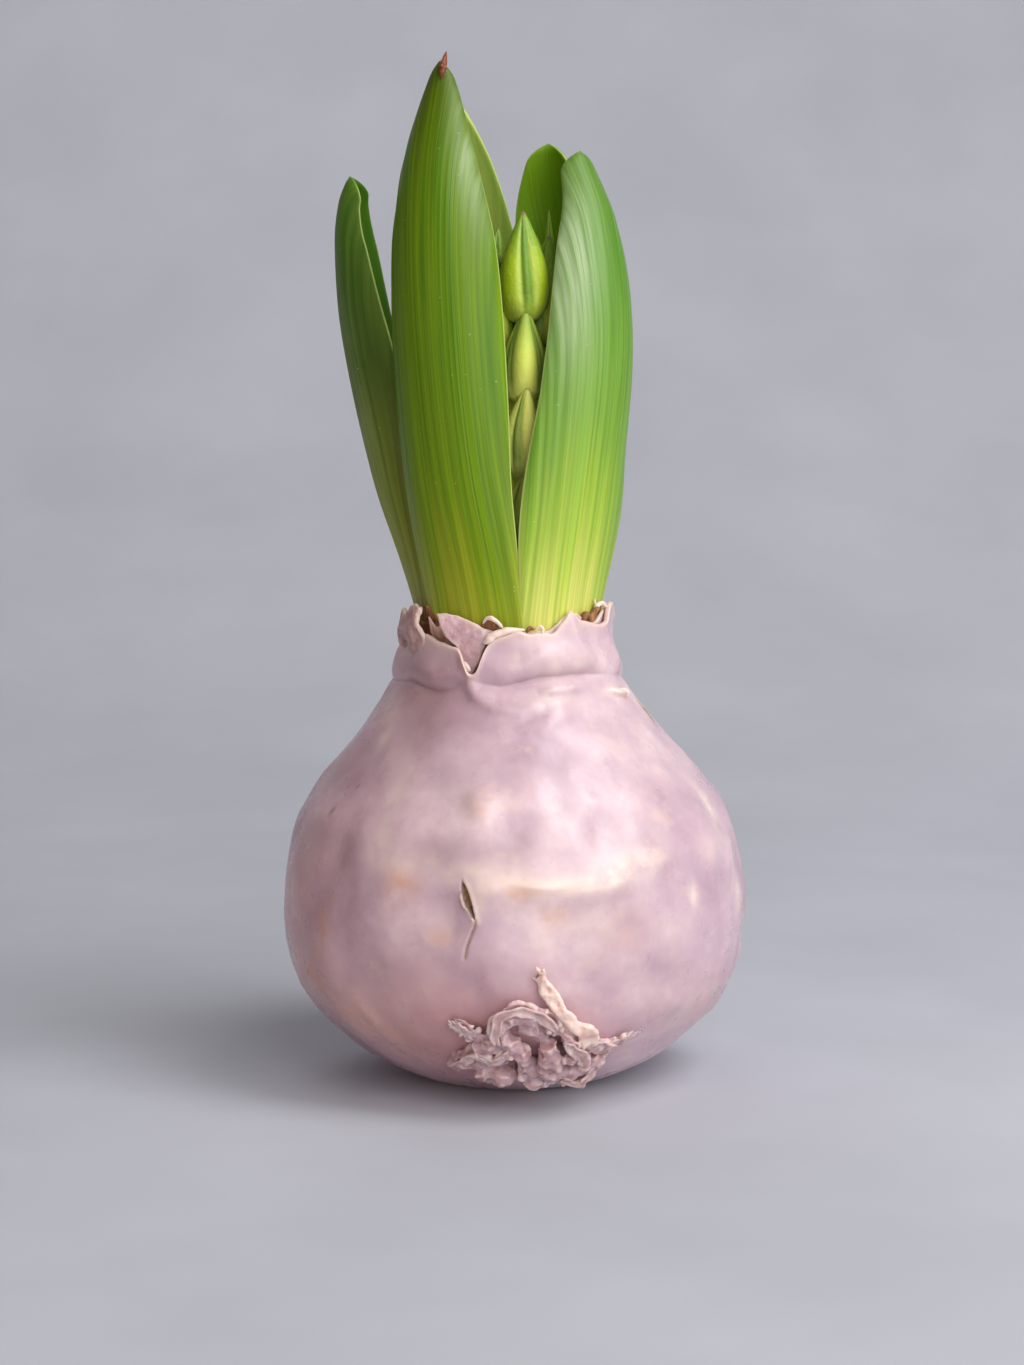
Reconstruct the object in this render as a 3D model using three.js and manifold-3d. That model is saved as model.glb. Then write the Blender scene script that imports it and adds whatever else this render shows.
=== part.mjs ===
// A hyacinth bulb dipped in wax, in early growth: the wax coat with its torn rim, the bulb inside it,
// five channelled leaves and the flower head of closed buds between them.
// Millimetres, +Z up. The bulb stands on its flat foot at z = 0, and the front faces -Y.
// A bearing is an angle about the upright axis, in degrees: 0 faces the front, 90 faces +X.
import * as THREE from "three";
import { mergeVertices } from "three/addons/utils/BufferGeometryUtils.js";
import Module from "manifold-3d";

const wasm = await Module();
wasm.setup();

// Driving dimensions
const BULB_WIDTH = 72; // across the wax coat at its widest
const RIM_HEIGHT = 71; // from the foot to the middle of the torn rim
const FOOT_RADIUS = 12; // the flat spot that the bulb stands on
const NECK_SHIFT = -1.1; // how far the neck leans off the bulb's axis, along X
const WAX_THICKNESS = 2.2;
const WAX_THICKNESS_RIM = 1.1;
const PLY_THICKNESS = 0.7; // one layer of the folded wax at the rim
const GAP = 0.3; // between pieces that touch on the real plant
const LEAF_CLEARANCE = 0.42; // between the neck's throat and the leaves' outer faces
const THROAT_FLOOR = 58; // the bottom of the hole in the bulb's neck that the leaves grow out of
const THROAT_RADIUS = 13.2; // its radius there
const THROAT_FLARE = 0.1; // and how fast it widens upwards
const LEAF_THICKNESS = 1.7;
const SCAPE_RADIUS = 3.4; // the flower stem
const COLUMNS = 50; // around the wax coat
const BULB_COLUMNS = 40;
const BODY_SHARE = 0.8; // of the outline's length, below the neck

const FRAME_HALF = BULB_WIDTH / 2;
const rad = THREE.MathUtils.degToRad;
const clamp = THREE.MathUtils.clamp;
const smoothstep = THREE.MathUtils.smoothstep;

// A number from 0 to 1 that is always the same for the same seed.
function chance(seed) {
  const wave = Math.sin(seed * 12.9898 + 4.1414) * 43758.5453;
  return wave - Math.floor(wave);
}

// A smooth curve through rows of [x, value, ...], as a function from x to the list of values.
function smooth(rows) {
  const last = rows.length - 1;
  const slopes = rows.map((row, i) => {
    const before = rows[Math.max(i - 1, 0)];
    const after = rows[Math.min(i + 1, last)];
    return row.slice(1).map((_, k) => (after[k + 1] - before[k + 1]) / (after[0] - before[0]));
  });
  return (at) => {
    const x = clamp(at, rows[0][0], rows[last][0]);
    let i = 0;
    while (i < last - 1 && x > rows[i + 1][0]) i += 1;
    const step = rows[i + 1][0] - rows[i][0];
    const t = (x - rows[i][0]) / step;
    const h = [2 * t ** 3 - 3 * t ** 2 + 1, t ** 3 - 2 * t ** 2 + t, 3 * t ** 2 - 2 * t ** 3, t ** 3 - t ** 2];
    return rows[i].slice(1).map((value, k) =>
      h[0] * value + h[1] * step * slopes[i][k] + h[2] * rows[i + 1][k + 1] + h[3] * step * slopes[i + 1][k]);
  };
}

// A smooth path through points, as a function from 0 to 1 along its length to the point there.
function pathThrough(points) {
  const rows = [[0, ...points[0]]];
  for (let i = 1; i < points.length; i += 1) {
    const leg = Math.hypot(...points[i].map((value, k) => value - points[i - 1][k]));
    rows.push([rows[i - 1][0] + leg, ...points[i]]);
  }
  const length = rows[rows.length - 1][0];
  const curve = smooth(rows);
  return (share) => curve(share * length);
}

// A table of [bearing, value] that closes on itself, as a function of the bearing.
function around(table) {
  const rows = [];
  for (const turn of [-360, 0, 360]) rows.push(...table.map(([bearing, value]) => [bearing + turn, value]));
  const curve = smooth(rows);
  return (bearing) => curve(THREE.MathUtils.euclideanModulo(bearing + 180, 360) - 180)[0];
}

// A closed mesh from rings of points, all with the same number of points, and a point at each end.
function skin(rings, firstPoint, lastPoint) {
  const count = rings[0].length;
  const points = [firstPoint, ...rings.flat(), lastPoint];
  const faces = [];
  const at = (ring, k) => 1 + ring * count + (k % count);
  for (let k = 0; k < count; k += 1) {
    faces.push(0, at(0, k + 1), at(0, k));
    faces.push(points.length - 1, at(rings.length - 1, k), at(rings.length - 1, k + 1));
    for (let ring = 0; ring < rings.length - 1; ring += 1) {
      faces.push(at(ring, k), at(ring, k + 1), at(ring + 1, k + 1));
      faces.push(at(ring, k), at(ring + 1, k + 1), at(ring + 1, k));
    }
  }
  const geometry = new THREE.BufferGeometry();
  geometry.setAttribute("position", new THREE.Float32BufferAttribute(points.flat(), 3));
  geometry.setIndex(faces);
  return geometry;
}

function toSolid(geometry) {
  const bare = new THREE.BufferGeometry();
  bare.setAttribute("position", geometry.getAttribute("position"));
  if (geometry.index) bare.setIndex(geometry.index);
  const merged = mergeVertices(bare, 1e-4);
  return new wasm.Manifold(new wasm.Mesh({
    numProp: 3,
    vertProperties: new Float32Array(merged.attributes.position.array),
    triVerts: new Uint32Array(merged.index.array),
  }));
}

function toGeometry(solid) {
  const mesh = solid.getMesh();
  const geometry = new THREE.BufferGeometry();
  geometry.setAttribute("position", new THREE.BufferAttribute(new Float32Array(mesh.vertProperties), 3));
  geometry.setIndex(new THREE.BufferAttribute(new Uint32Array(mesh.triVerts), 1));
  return geometry;
}

const unite = (geometries) => geometries.map(toSolid).reduce((whole, piece) => whole.add(piece));

// The largest body of a solid: hollows that joining has sealed are filled, and loose scraps are dropped.
function largestBody(solid) {
  return solid.decompose().reduce((most, body) => (body.volume() > most.volume() ? body : most));
}

// ---------------------------------------------------------------- the bulb's outline

// The wax coat's outline from the foot's edge to the rim, as shares of half its width and of the rim's height.
const OUTLINE = [
  [0.334, 0], [0.42, 0.006], [0.53, 0.027], [0.66, 0.063], [0.78, 0.113], [0.885, 0.168],
  [0.965, 0.245], [1, 0.36], [0.985, 0.485], [0.917, 0.59], [0.78, 0.69], [0.63, 0.78],
  [0.518, 0.852], [0.474, 0.905], [0.455, 0.955], [0.45, 1],
].map(([radius, height]) => [radius * FRAME_HALF, height * RIM_HEIGHT]);
OUTLINE[0][0] = FOOT_RADIUS;
const outline = pathThrough(OUTLINE);

// The point of the outline at a share of its length, moved inwards square to it.
function outlineInset(share, inset) {
  const [r0, z0] = outline(Math.max(share - 0.01, 0));
  const [r1, z1] = outline(Math.min(share + 0.01, 1));
  const length = Math.hypot(r1 - r0, z1 - z0);
  const [r, z] = outline(share);
  return [r - (inset * (z1 - z0)) / length, z + (inset * (r1 - r0)) / length];
}

// Shares of the outline's length for rows of points: some up the body, and closer ones up the neck.
function rowShares(bodyRows, neckRows) {
  const shares = [];
  for (let row = 0; row < bodyRows; row += 1) shares.push((BODY_SHARE * row) / bodyRows);
  for (let row = 0; row <= neckRows; row += 1) shares.push(BODY_SHARE + ((1 - BODY_SHARE) * row) / neckRows);
  return shares;
}
const OUTER_SHARES = rowShares(15, 10);
const INNER_SHARES = rowShares(8, 4);

const axisShift = (height) => NECK_SHIFT * smoothstep(height, 46, 62);

// A point on a turned body: radius and height, at a bearing, with the neck's lean.
function turned(radius, height, bearing) {
  const angle = rad(bearing);
  return [axisShift(height) + radius * Math.sin(angle), -radius * Math.cos(angle), height];
}

// ---------------------------------------------------------------- the wax coat

// Bumps and dents in the wax: [bearing, height, half width across, half width up, how far out].
const NAMED_LUMPS = [
  [5, 36.6, 19, 2.8, 0.55], // the long ridge across the front
  [-10, 47, 2.6, 2.4, 1.1],
  [69, 61.2, 2.6, 1.5, 1.0],
  [-5.5, 33.8, 3.4, 4.2, 0.6], // the raised lip of the split
  [-15, 32, 2.6, 4.5, -0.5],
  [60, 45, 5, 4.5, 0.5],
  [-62, 50, 5, 4, -0.5],
  [24, 52, 7, 5, -0.35],
  [-38, 24, 8, 6, 0.4],
  [34, 19, 8, 5, -0.4],
];
const LUMP_COUNT = 46;
const LUMPS = [...NAMED_LUMPS];
for (let i = 0; i < LUMP_COUNT; i += 1) {
  const size = 3.5 + 4 * chance(i + 0.3);
  LUMPS.push([360 * chance(i + 100), 8 + 50 * chance(i + 200), size, size, 1.1 * (chance(i + 300) - 0.5)]);
}

// The roll of wax under the rim, and the crease below it, whose height wanders.
const creaseHeight = (bearing) => 62.6 + 0.9 * Math.sin(rad(2 * bearing + 50)) + 0.5 * Math.sin(rad(5 * bearing));
const CREASE_DEPTH = 0.7;
const CREASE_WIDTH = 1.2;
const DEEPEST_DENT = 0.95;
const ROLL_RISE = 0.6;
const ROLL_WIDTH = 2.8;

// How far the wax stands out from its outline.
function relief(bearing, height, radius) {
  let out = 0;
  for (const [lumpBearing, lumpHeight, across, up, amount] of LUMPS) {
    const turn = THREE.MathUtils.euclideanModulo(bearing - lumpBearing + 180, 360) - 180;
    const sideways = (rad(turn) * radius) / across;
    const upwards = (height - lumpHeight) / up;
    out += amount * Math.exp(-sideways * sideways - upwards * upwards);
  }
  const above = height - creaseHeight(bearing);
  out -= CREASE_DEPTH * Math.exp(-((above / CREASE_WIDTH) ** 2));
  out += ROLL_RISE * Math.exp(-(((above - ROLL_WIDTH) / ROLL_WIDTH) ** 2));
  return Math.max(out, -DEEPEST_DENT) * smoothstep(height, 0.5, 4);
}

// The torn edge of the outer ply and of the ply behind it: [bearing, height].
const outerRim = around([
  [-172, 72], [-160, 70.6], [-145, 72], [-130, 73], [-116, 70.8], [-100, 72.4], [-86, 72.8], [-76, 74],
  [-68, 73.2], [-61, 71.2], [-56, 69.7], [-48, 69.5], [-39, 69.1], [-33, 68.8], [-27, 68.4], [-23, 67.5],
  [-20.5, 66.3], [-18, 64.6], [-15, 65], [-12.5, 67], [-9.5, 69.1], [-3, 69.8], [5, 70.7], [18, 70.6],
  [27, 70.8], [33, 72.4], [38, 73.4], [42, 72.5], [49, 72], [60, 71.3], [67, 72], [73, 74], [81, 73.8],
  [90, 72.4], [102, 71], [114, 72.4], [128, 70.4], [142, 72.8], [156, 71.4], [170, 70.8],
]);
const innerPly = around([
  [-170, 72.8], [-150, 71.4], [-120, 72.4], [-95, 73.4], [-74, 74.3], [-62, 71.4], [-55, 70], [-50, 72],
  [-44, 71.6], [-40, 73.3], [-36, 73.5], [-29, 73.2], [-20, 72.4], [-12, 71.2], [-4, 70.8], [8, 71.2],
  [25, 71.3], [40, 73.6], [60, 71.8], [76, 74.2], [95, 72.6], [120, 72.4], [150, 72],
]);
const PLY_STEP = 0.25; // the inner ply stands at least this far above the outer one
const innerRim = (bearing) => Math.max(innerPly(bearing), outerRim(bearing) + PLY_STEP);

// Heights above the stretch line are stretched, so that the last row of the outline lies on the torn edge.
const STRETCH_FROM = 56;
function stretched(height, rim) {
  if (height <= STRETCH_FROM) return height;
  return STRETCH_FROM + ((height - STRETCH_FROM) * (rim - STRETCH_FROM)) / (RIM_HEIGHT - STRETCH_FROM);
}

const rimBearings = [-22.5, -20, -18, -15.5, -12.5];
const waxBearings = Array.from({ length: COLUMNS }, (_, k) => -180 + (360 * k) / COLUMNS)
  .filter((bearing) => rimBearings.every((other) => Math.abs(other - bearing) > 1.2))
  .concat(rimBearings)
  .sort((a, b) => a - b);

const waxInset = (share) =>
  THREE.MathUtils.lerp(WAX_THICKNESS, WAX_THICKNESS_RIM, smoothstep(share, 0.88, 0.98));

function waxBody() {
  const rings = [];
  for (const share of OUTER_SHARES) {
    const [radius, height] = outline(share);
    rings.push(waxBearings.map((bearing) => {
      const level = stretched(height, outerRim(bearing));
      return turned(radius + relief(bearing, level, radius), level, bearing);
    }));
  }
  const [rimRadius] = outline(1);
  rings.push(waxBearings.map((bearing) => {
    const level = outerRim(bearing);
    return turned(rimRadius + relief(bearing, level, rimRadius) - PLY_THICKNESS, level, bearing);
  }));
  rings.push(waxBearings.map((bearing) =>
    turned(rimRadius - PLY_THICKNESS + 0.1, innerRim(bearing), bearing)));
  for (const share of [...INNER_SHARES].reverse()) {
    const [radius, height] = outlineInset(share, waxInset(share));
    rings.push(waxBearings.map((bearing) => turned(radius, share === 1 ? innerRim(bearing) : height, bearing)));
  }
  return skin(rings, [0, 0, 0], [0, 0, WAX_THICKNESS]);
}

// ---------------------------------------------------------------- blades: leaves, and the strip of wax

// A channelled blade along a spine, which is the middle line of its outer face. facing and cup are rows of
// [share of the length, angle]: the bearing that this face looks to, and how far each edge is turned in.
// keel is 1 for a round channel and less for one that is folded along the middle.
const HALF_STEPS = 4;
function blade({ spine, facing, width, taper, cup, keel, thickness, rows }) {
  const path = pathThrough(spine);
  const face = smooth(facing);
  const curl = smooth(cup);
  const rings = [];
  for (let row = 0; row <= rows; row += 1) {
    const along = 1 - (1 - row / rows) ** 1.2;
    const centre = new THREE.Vector3(...path(along));
    const ahead = new THREE.Vector3(...path(Math.min(along + 0.01, 1)));
    const behind = new THREE.Vector3(...path(Math.max(along - 0.01, 0)));
    const tangent = ahead.sub(behind).normalize();
    const bearing = rad(face(along)[0]);
    const outward = new THREE.Vector3(Math.sin(bearing), -Math.cos(bearing), 0);
    outward.addScaledVector(tangent, -outward.dot(tangent)).normalize();
    const across = new THREE.Vector3().crossVectors(tangent, outward);
    const half = (width / 2) * taper(along)[0];
    const turn = rad(curl(along)[0]);
    const outer = [];
    const inner = [];
    for (let side = -HALF_STEPS; side <= HALF_STEPS; side += 1) {
      const reach = side / HALF_STEPS;
      let sideways = 0;
      let inwards = 0;
      const parts = Math.abs(side) * 2;
      for (let part = 0; part < parts; part += 1) {
        const angle = turn * (((part + 0.5) / parts) * Math.abs(reach)) ** keel;
        sideways += (Math.cos(angle) * half * reach) / parts;
        inwards += (Math.sin(angle) * half * Math.abs(reach)) / parts;
      }
      const point = centre.clone().addScaledVector(across, sideways).addScaledVector(outward, -inwards);
      const lean = Math.sign(reach) * turn * Math.abs(reach) ** keel;
      const normal = outward.clone().multiplyScalar(Math.cos(lean)).addScaledVector(across, Math.sin(lean));
      const round = half / Math.max(turn, 0.2);
      const depth = Math.min(thickness * (1 - 0.3 * along) * (1 - 0.55 * reach ** 2), 0.7 * round);
      outer.push(point.toArray());
      inner.push(point.addScaledVector(normal, -depth).toArray());
    }
    rings.push([...outer, ...inner.reverse()]);
  }
  return closeRings(rings, 2 * HALF_STEPS + 1);
}

// Closes a tube of flat rings, each made of one face's points and then the other face's points backwards.
function closeRings(rings, span) {
  const count = rings[0].length;
  const faces = [];
  const at = (ring, k) => ring * count + (k % count);
  for (let ring = 0; ring < rings.length - 1; ring += 1) {
    for (let k = 0; k < count; k += 1) {
      // Both faces of the blade are split along the same diagonals.
      if (k < span - 1) {
        faces.push(at(ring, k), at(ring, k + 1), at(ring + 1, k + 1));
        faces.push(at(ring, k), at(ring + 1, k + 1), at(ring + 1, k));
      } else {
        faces.push(at(ring, k), at(ring, k + 1), at(ring + 1, k));
        faces.push(at(ring, k + 1), at(ring + 1, k + 1), at(ring + 1, k));
      }
    }
  }
  const top = rings.length - 1;
  for (let k = 0; k < span - 1; k += 1) {
    const across = count - 1 - k;
    faces.push(at(0, k), at(0, across), at(0, k + 1));
    faces.push(at(0, k + 1), at(0, across), at(0, across - 1));
    faces.push(at(top, k), at(top, k + 1), at(top, across));
    faces.push(at(top, k + 1), at(top, across - 1), at(top, across));
  }
  const geometry = new THREE.BufferGeometry();
  geometry.setAttribute("position", new THREE.Float32BufferAttribute(rings.flat(2), 3));
  geometry.setIndex(faces);
  return geometry;
}

const LEAF_FOOT = THROAT_FLOOR + GAP;
const NECK_TOP = 72;
const IN_NECK = 0.14; // the share of a leaf's length that is inside the neck
const throatRadius = (height) => THROAT_RADIUS + THROAT_FLARE * (height - THROAT_FLOOR);

// In the neck each leaf takes up its own part of the ring: [bearing of its middle, angle to each edge].
const LEAVES = [
  {
    name: "leaf_front_left", colour: 0x6f9a2c, width: 25, rows: 20, root: [-23.5, 32.4],
    spine: [[-11.2, -12.6, 96], [-13.5, -11.2, 120], [-13.6, -8.6, 140], [-11.2, -4.6, 157]],
    facing: [-29, -26], cup: [62, 80], keel: 1,
  },
  {
    name: "leaf_front_right", colour: 0x86ad4c, width: 22.5, rows: 18, root: [52.5, 39.2],
    spine: [[13.4, -9.2, 93], [15.1, -7.6, 115], [13.4, -5.8, 133], [10.2, -2.6, 143.2]],
    facing: [49, 38], cup: [60, 76], keel: 1,
  },
  {
    name: "leaf_left", colour: 0x56752b, width: 19, rows: 18, root: [-91, 29],
    spine: [[-22.1, 3.4, 93], [-26.9, 5, 115], [-27.9, 4.8, 129], [-27.2, 3.8, 135.6], [-25.6, 2.6, 139.6]],
    facing: [-89, -103], cup: [76, 74], keel: 0.4,
  },
  {
    name: "leaf_back_left", colour: 0x648c23, width: 22.5, rows: 18, root: [-160.5, 30.6],
    spine: [[-7.5, 14.6, 100], [-8, 13.8, 127], [-8.6, 10.8, 141], [-10, 7.4, 151.8]],
    facing: [-169, -178], cup: [54, 70], keel: 0.9,
  },
  {
    name: "leaf_back_right", colour: 0x4d7a1f, width: 22, rows: 18, root: [129, 32],
    spine: [[12, 12.2, 97], [10.4, 13.8, 119], [6.6, 12.4, 135], [5.2, 9.6, 144.8]],
    facing: [148, 165], cup: [50, 66], keel: 0.9,
  },
];

// The width along a leaf as a share of its full width, from the share that it has in the neck.
const leafTaper = (rootShare) => smooth([
  [0, rootShare * 0.93], [IN_NECK, rootShare], [0.3, rootShare + (1 - rootShare) * 0.42],
  [0.45, rootShare + (1 - rootShare) * 0.82], [0.6, 1], [0.72, 0.92], [0.82, 0.76], [0.89, 0.56],
  [0.94, 0.38], [0.975, 0.22], [1, 0.07],
]);

function leaf({ root, spine, facing, cup, width, ...rest }) {
  const [bearing, span] = root;
  const inThroat = (height) => turned(throatRadius(height) - LEAF_CLEARANCE, height, bearing);
  return blade({
    ...rest,
    width,
    spine: [inThroat(LEAF_FOOT), inThroat(NECK_TOP), ...spine],
    facing: [[0, bearing], [IN_NECK, bearing], [0.5, facing[0]], [1, facing[1]]],
    cup: [[0, span], [IN_NECK, span], [0.5, cup[0]], [1, cup[1]]],
    taper: leafTaper((2 * (throatRadius(NECK_TOP) - LEAF_CLEARANCE) * rad(span)) / width),
    thickness: LEAF_THICKNESS,
  });
}

// ---------------------------------------------------------------- the torn wax at the foot

// Folds of torn wax on the front of the foot, where the old roots were: the half thickness, and the path
// along the surface as [bearing, height].
const FOLDS = [
  [1.7, [-3.2, 11.2], [-4.6, 13.2], [-3.6, 15.2], [0.2, 16.4], [4.4, 15.8], [8.2, 14.4], [10, 12.6]],
  [2.1, [8.6, 12.2], [8.4, 10.4], [7.6, 8.6], [6.4, 7.2]],
  [1.9, [1.6, 12], [2, 9.8], [3.2, 7.8], [6.8, 6.4], [11, 7]],
  [1.6, [10, 12.8], [12.4, 11.2], [14.6, 9.6], [17.6, 10.4], [19, 12.2]],
  [1.9, [12.6, 7.8], [17.6, 7.4], [22, 8.2], [26.4, 9.6]],
  [1.8, [-19.6, 7.6], [-15, 8.8], [-10, 9.8], [-5.6, 10.4], [-2.6, 11.6]],
  [2, [-14, 6.4], [-8.6, 7], [-3.6, 7.9], [0.2, 8.6]],
  [1.2, [-12.6, 13.6], [-10, 12.9], [-7, 12.2]],
  [1.2, [20, 10.2], [24.4, 10.5], [28.4, 11.1], [33, 12.1]],
];
const FOLD_SIDES = 6;
const FOLD_LIFT = 0.4; // how far a fold's middle stands out of the surface, as a share of its thickness

// A point that stands out of the coat's outline by lift, square to it, at a bearing and height.
function onCoat(bearing, height, lift) {
  let low = 0;
  let high = 1;
  for (let halving = 0; halving < 30; halving += 1) {
    const middle = (low + high) / 2;
    if (outline(middle)[1] < height) low = middle;
    else high = middle;
  }
  return turned(...outlineInset(low, -lift), bearing);
}

function fold([size, ...places], seed) {
  const path = pathThrough(places.map(([bearing, height]) => onCoat(bearing, height, FOLD_LIFT * size)));
  const count = Math.round(1.7 * places.length);
  const rings = [];
  for (let ring = 0; ring < count; ring += 1) {
    const share = ring / (count - 1);
    const centre = new THREE.Vector3(...path(share));
    const ahead = new THREE.Vector3(...path(Math.min(share + 0.05, 1)));
    const behind = new THREE.Vector3(...path(Math.max(share - 0.05, 0)));
    const tangent = ahead.sub(behind).normalize();
    const outward = new THREE.Vector3(centre.x, centre.y, 0).normalize();
    outward.addScaledVector(tangent, -outward.dot(tangent)).normalize();
    const across = new THREE.Vector3().crossVectors(tangent, outward);
    const swell = size * (0.55 + 0.45 * Math.sin(Math.PI * (0.12 + 0.76 * share)));
    rings.push(Array.from({ length: FOLD_SIDES }, (_, side) => {
      const angle = (2 * Math.PI * side) / FOLD_SIDES;
      const knob = swell * (0.82 + 0.36 * chance(seed * 97 + ring * 13 + side));
      return centre.clone().addScaledVector(outward, knob * Math.cos(angle))
        .addScaledVector(across, knob * Math.sin(angle)).toArray();
    }));
  }
  return skin(rings, path(0), path(1));
}

// The pale strip of wax that curls up off the folds: [bearing, height, how far its middle stands out].
const STRIP = [[20, 11.6, 0.6], [17.4, 14, 1.6], [13, 16.6, 1.8], [9, 18.6, 1.2], [7, 21, 1.2], [5.6, 23.2, 1.6]];
function strip() {
  return blade({
    spine: STRIP.map(([bearing, height, lift]) => onCoat(bearing, height, lift)),
    facing: [[0, 25], [0.5, 12], [1, 4]],
    width: 3.4,
    taper: smooth([[0, 0.9], [0.35, 1], [0.6, 0.72], [1, 0.5]]),
    cup: [[0, 30], [0.5, 35], [1, 40]],
    keel: 1,
    thickness: 1.6,
    rows: 8,
  });
}

// The split in the wax, which shows the bulb's skin: [x, z] round its outline, cut in from the front.
const SPLIT = [
  [-7.3, 36.8], [-6.5, 35.2], [-6, 33.4], [-5.7, 31.6], [-5.9, 30.5], [-6.8, 31.6], [-7.2, 33.2], [-7.3, 35],
];
const SPLIT_DEPTH = 20;

function splitCutter() {
  const shape = new THREE.Shape(SPLIT.map(([x, z]) => new THREE.Vector2(x, z)));
  const geometry = new THREE.ExtrudeGeometry(shape, { depth: SPLIT_DEPTH, bevelEnabled: false });
  geometry.rotateX(Math.PI / 2);
  geometry.translate(0, SPLIT_DEPTH / 8 - FRAME_HALF, 0);
  return geometry;
}

// The solid inside a surface that lies the given share of the wax's thickness, and a gap, under the outline.
function bodyWithin(depthShare, gap) {
  const bearings = Array.from({ length: BULB_COLUMNS }, (_, k) => (360 * k) / BULB_COLUMNS);
  return {
    bearings,
    rings: INNER_SHARES.map((share) => {
      const [radius, height] = outlineInset(share, waxInset(share) * depthShare + gap);
      return bearings.map((bearing) => turned(radius, height, bearing));
    }),
    foot: [0, 0, outlineInset(0, waxInset(0) * depthShare + gap)[1]],
  };
}

// The folds are trimmed to half the coat's thickness.
function foldTrimmer() {
  const { rings, foot } = bodyWithin(0.5, 0);
  return skin(rings, foot, [NECK_SHIFT, 0, RIM_HEIGHT]);
}

function waxCoat() {
  const folds = unite([...FOLDS.map((row, i) => fold(row, i + 1)), strip()]);
  const trimmed = folds.subtract(toSolid(foldTrimmer()));
  return toGeometry(largestBody(toSolid(waxBody()).add(trimmed).subtract(toSolid(splitCutter()))));
}

// ---------------------------------------------------------------- the bulb inside

const TUNIC_SPIKES = 9;
const tunicEdge = (bearing) =>
  70.4 + 1.1 * Math.abs(Math.sin(rad(TUNIC_SPIKES * bearing) / 2)) + 0.8 * Math.sin(rad(3 * bearing + 200));

function bulb() {
  const { bearings, rings, foot } = bodyWithin(1, GAP);
  const [neckRadius] = outlineInset(1, waxInset(1) + GAP);
  rings.pop();
  rings.push(bearings.map((bearing) => turned(neckRadius, tunicEdge(bearing), bearing)));
  rings.push(bearings.map((bearing) => turned(throatRadius(RIM_HEIGHT), tunicEdge(bearing), bearing)));
  rings.push(bearings.map((bearing) => turned(THROAT_RADIUS, THROAT_FLOOR, bearing)));
  return skin(rings, foot, [NECK_SHIFT, 0, THROAT_FLOOR]);
}

// ---------------------------------------------------------------- the flower head

// A closed bud: six lobes with a groove between each two. Its rings are [share of length, share of radius].
const BUD_RINGS = [[0.03, 0.5], [0.22, 0.92], [0.48, 1], [0.74, 0.7], [0.94, 0.28]];
const BUD_SIDES = 12;
const GROOVE = 0.2;

function bud({ foot, tip, radius, spin }) {
  const base = new THREE.Vector3(...foot);
  const axis = new THREE.Vector3(...tip).sub(base);
  const length = axis.length();
  const upright = new THREE.Vector3(0, 0, 1);
  const turn = new THREE.Quaternion().setFromUnitVectors(upright, axis.clone().normalize());
  const place = (r, angle, height) => new THREE.Vector3(r * Math.cos(angle), r * Math.sin(angle), height)
    .applyQuaternion(turn).add(base).toArray();
  const rings = BUD_RINGS.map(([share, size]) =>
    Array.from({ length: BUD_SIDES }, (_, k) => {
      const lobe = k % 2 === 0 ? 1 : 1 - GROOVE * Math.sin(Math.PI * Math.min(share + 0.2, 1));
      return place(radius * size * lobe, (2 * Math.PI * k) / BUD_SIDES + spin, share * length);
    }));
  return skin(rings, place(0, 0, 0), place(0, 0, length));
}

// Whorls of five buds, from the top: height of the tips, length, radius, and how far out the tip and foot lie.
const WHORLS = [
  { top: 134, length: 17, radius: 4.1, tipOut: 4.8, footOut: 4.4 },
  { top: 119.6, length: 14.5, radius: 3.6, tipOut: 7, footOut: 4.4 },
  { top: 107.7, length: 14, radius: 3.4, tipOut: 7.2, footOut: 4.2 },
  { top: 94.8, length: 13.5, radius: 3.2, tipOut: 6.8, footOut: 3.4 },
];
const BUDS_IN_WHORL = 5;
const FRONT_BUD = 10; // the bearing of the column of buds that shows between the front leaves
const HEAD_AXIS = [0.4, 0.6];
const SCAPE_TOP = 126;

function flowerHead() {
  const out = (bearing, reach, height) => [
    HEAD_AXIS[0] + reach * Math.sin(rad(bearing)), HEAD_AXIS[1] - reach * Math.cos(rad(bearing)), height,
  ];
  const buds = [];
  WHORLS.forEach((whorl, level) => {
    for (let k = 0; k < BUDS_IN_WHORL; k += 1) {
      const seed = 10 * level + k;
      const loose = k === 0 ? 0 : 1;
      const bearing = FRONT_BUD + (360 * k) / BUDS_IN_WHORL + loose * 14 * (chance(seed) - 0.5);
      const top = whorl.top - loose * (2.4 + 2.4 * chance(seed + 50));
      buds.push(bud({
        foot: out(bearing, whorl.footOut, top - whorl.length),
        tip: out(bearing, whorl.tipOut, top),
        radius: whorl.radius,
        spin: rad(bearing),
      }));
    }
  });
  buds.push(bud({ foot: out(190, 0.5, 118), tip: out(190, 1.2, 134.5), radius: 3.2, spin: 0 }));
  const scape = new THREE.LatheGeometry([
    new THREE.Vector2(0, LEAF_FOOT), new THREE.Vector2(SCAPE_RADIUS, LEAF_FOOT), new THREE.Vector2(SCAPE_RADIUS, 90),
    new THREE.Vector2(SCAPE_RADIUS * 0.7, SCAPE_TOP), new THREE.Vector2(0, SCAPE_TOP),
  ], 12);
  scape.rotateX(Math.PI / 2);
  scape.translate(HEAD_AXIS[0], HEAD_AXIS[1], 0);
  return toGeometry(largestBody(unite([scape, ...buds])));
}

// ---------------------------------------------------------------- the whole plant

const plant = new THREE.Group();

function addPiece(name, geometry, colour, roughness) {
  const mesh = new THREE.Mesh(geometry, new THREE.MeshStandardMaterial({ color: colour, roughness, metalness: 0 }));
  mesh.name = name;
  plant.add(mesh);
}

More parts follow.
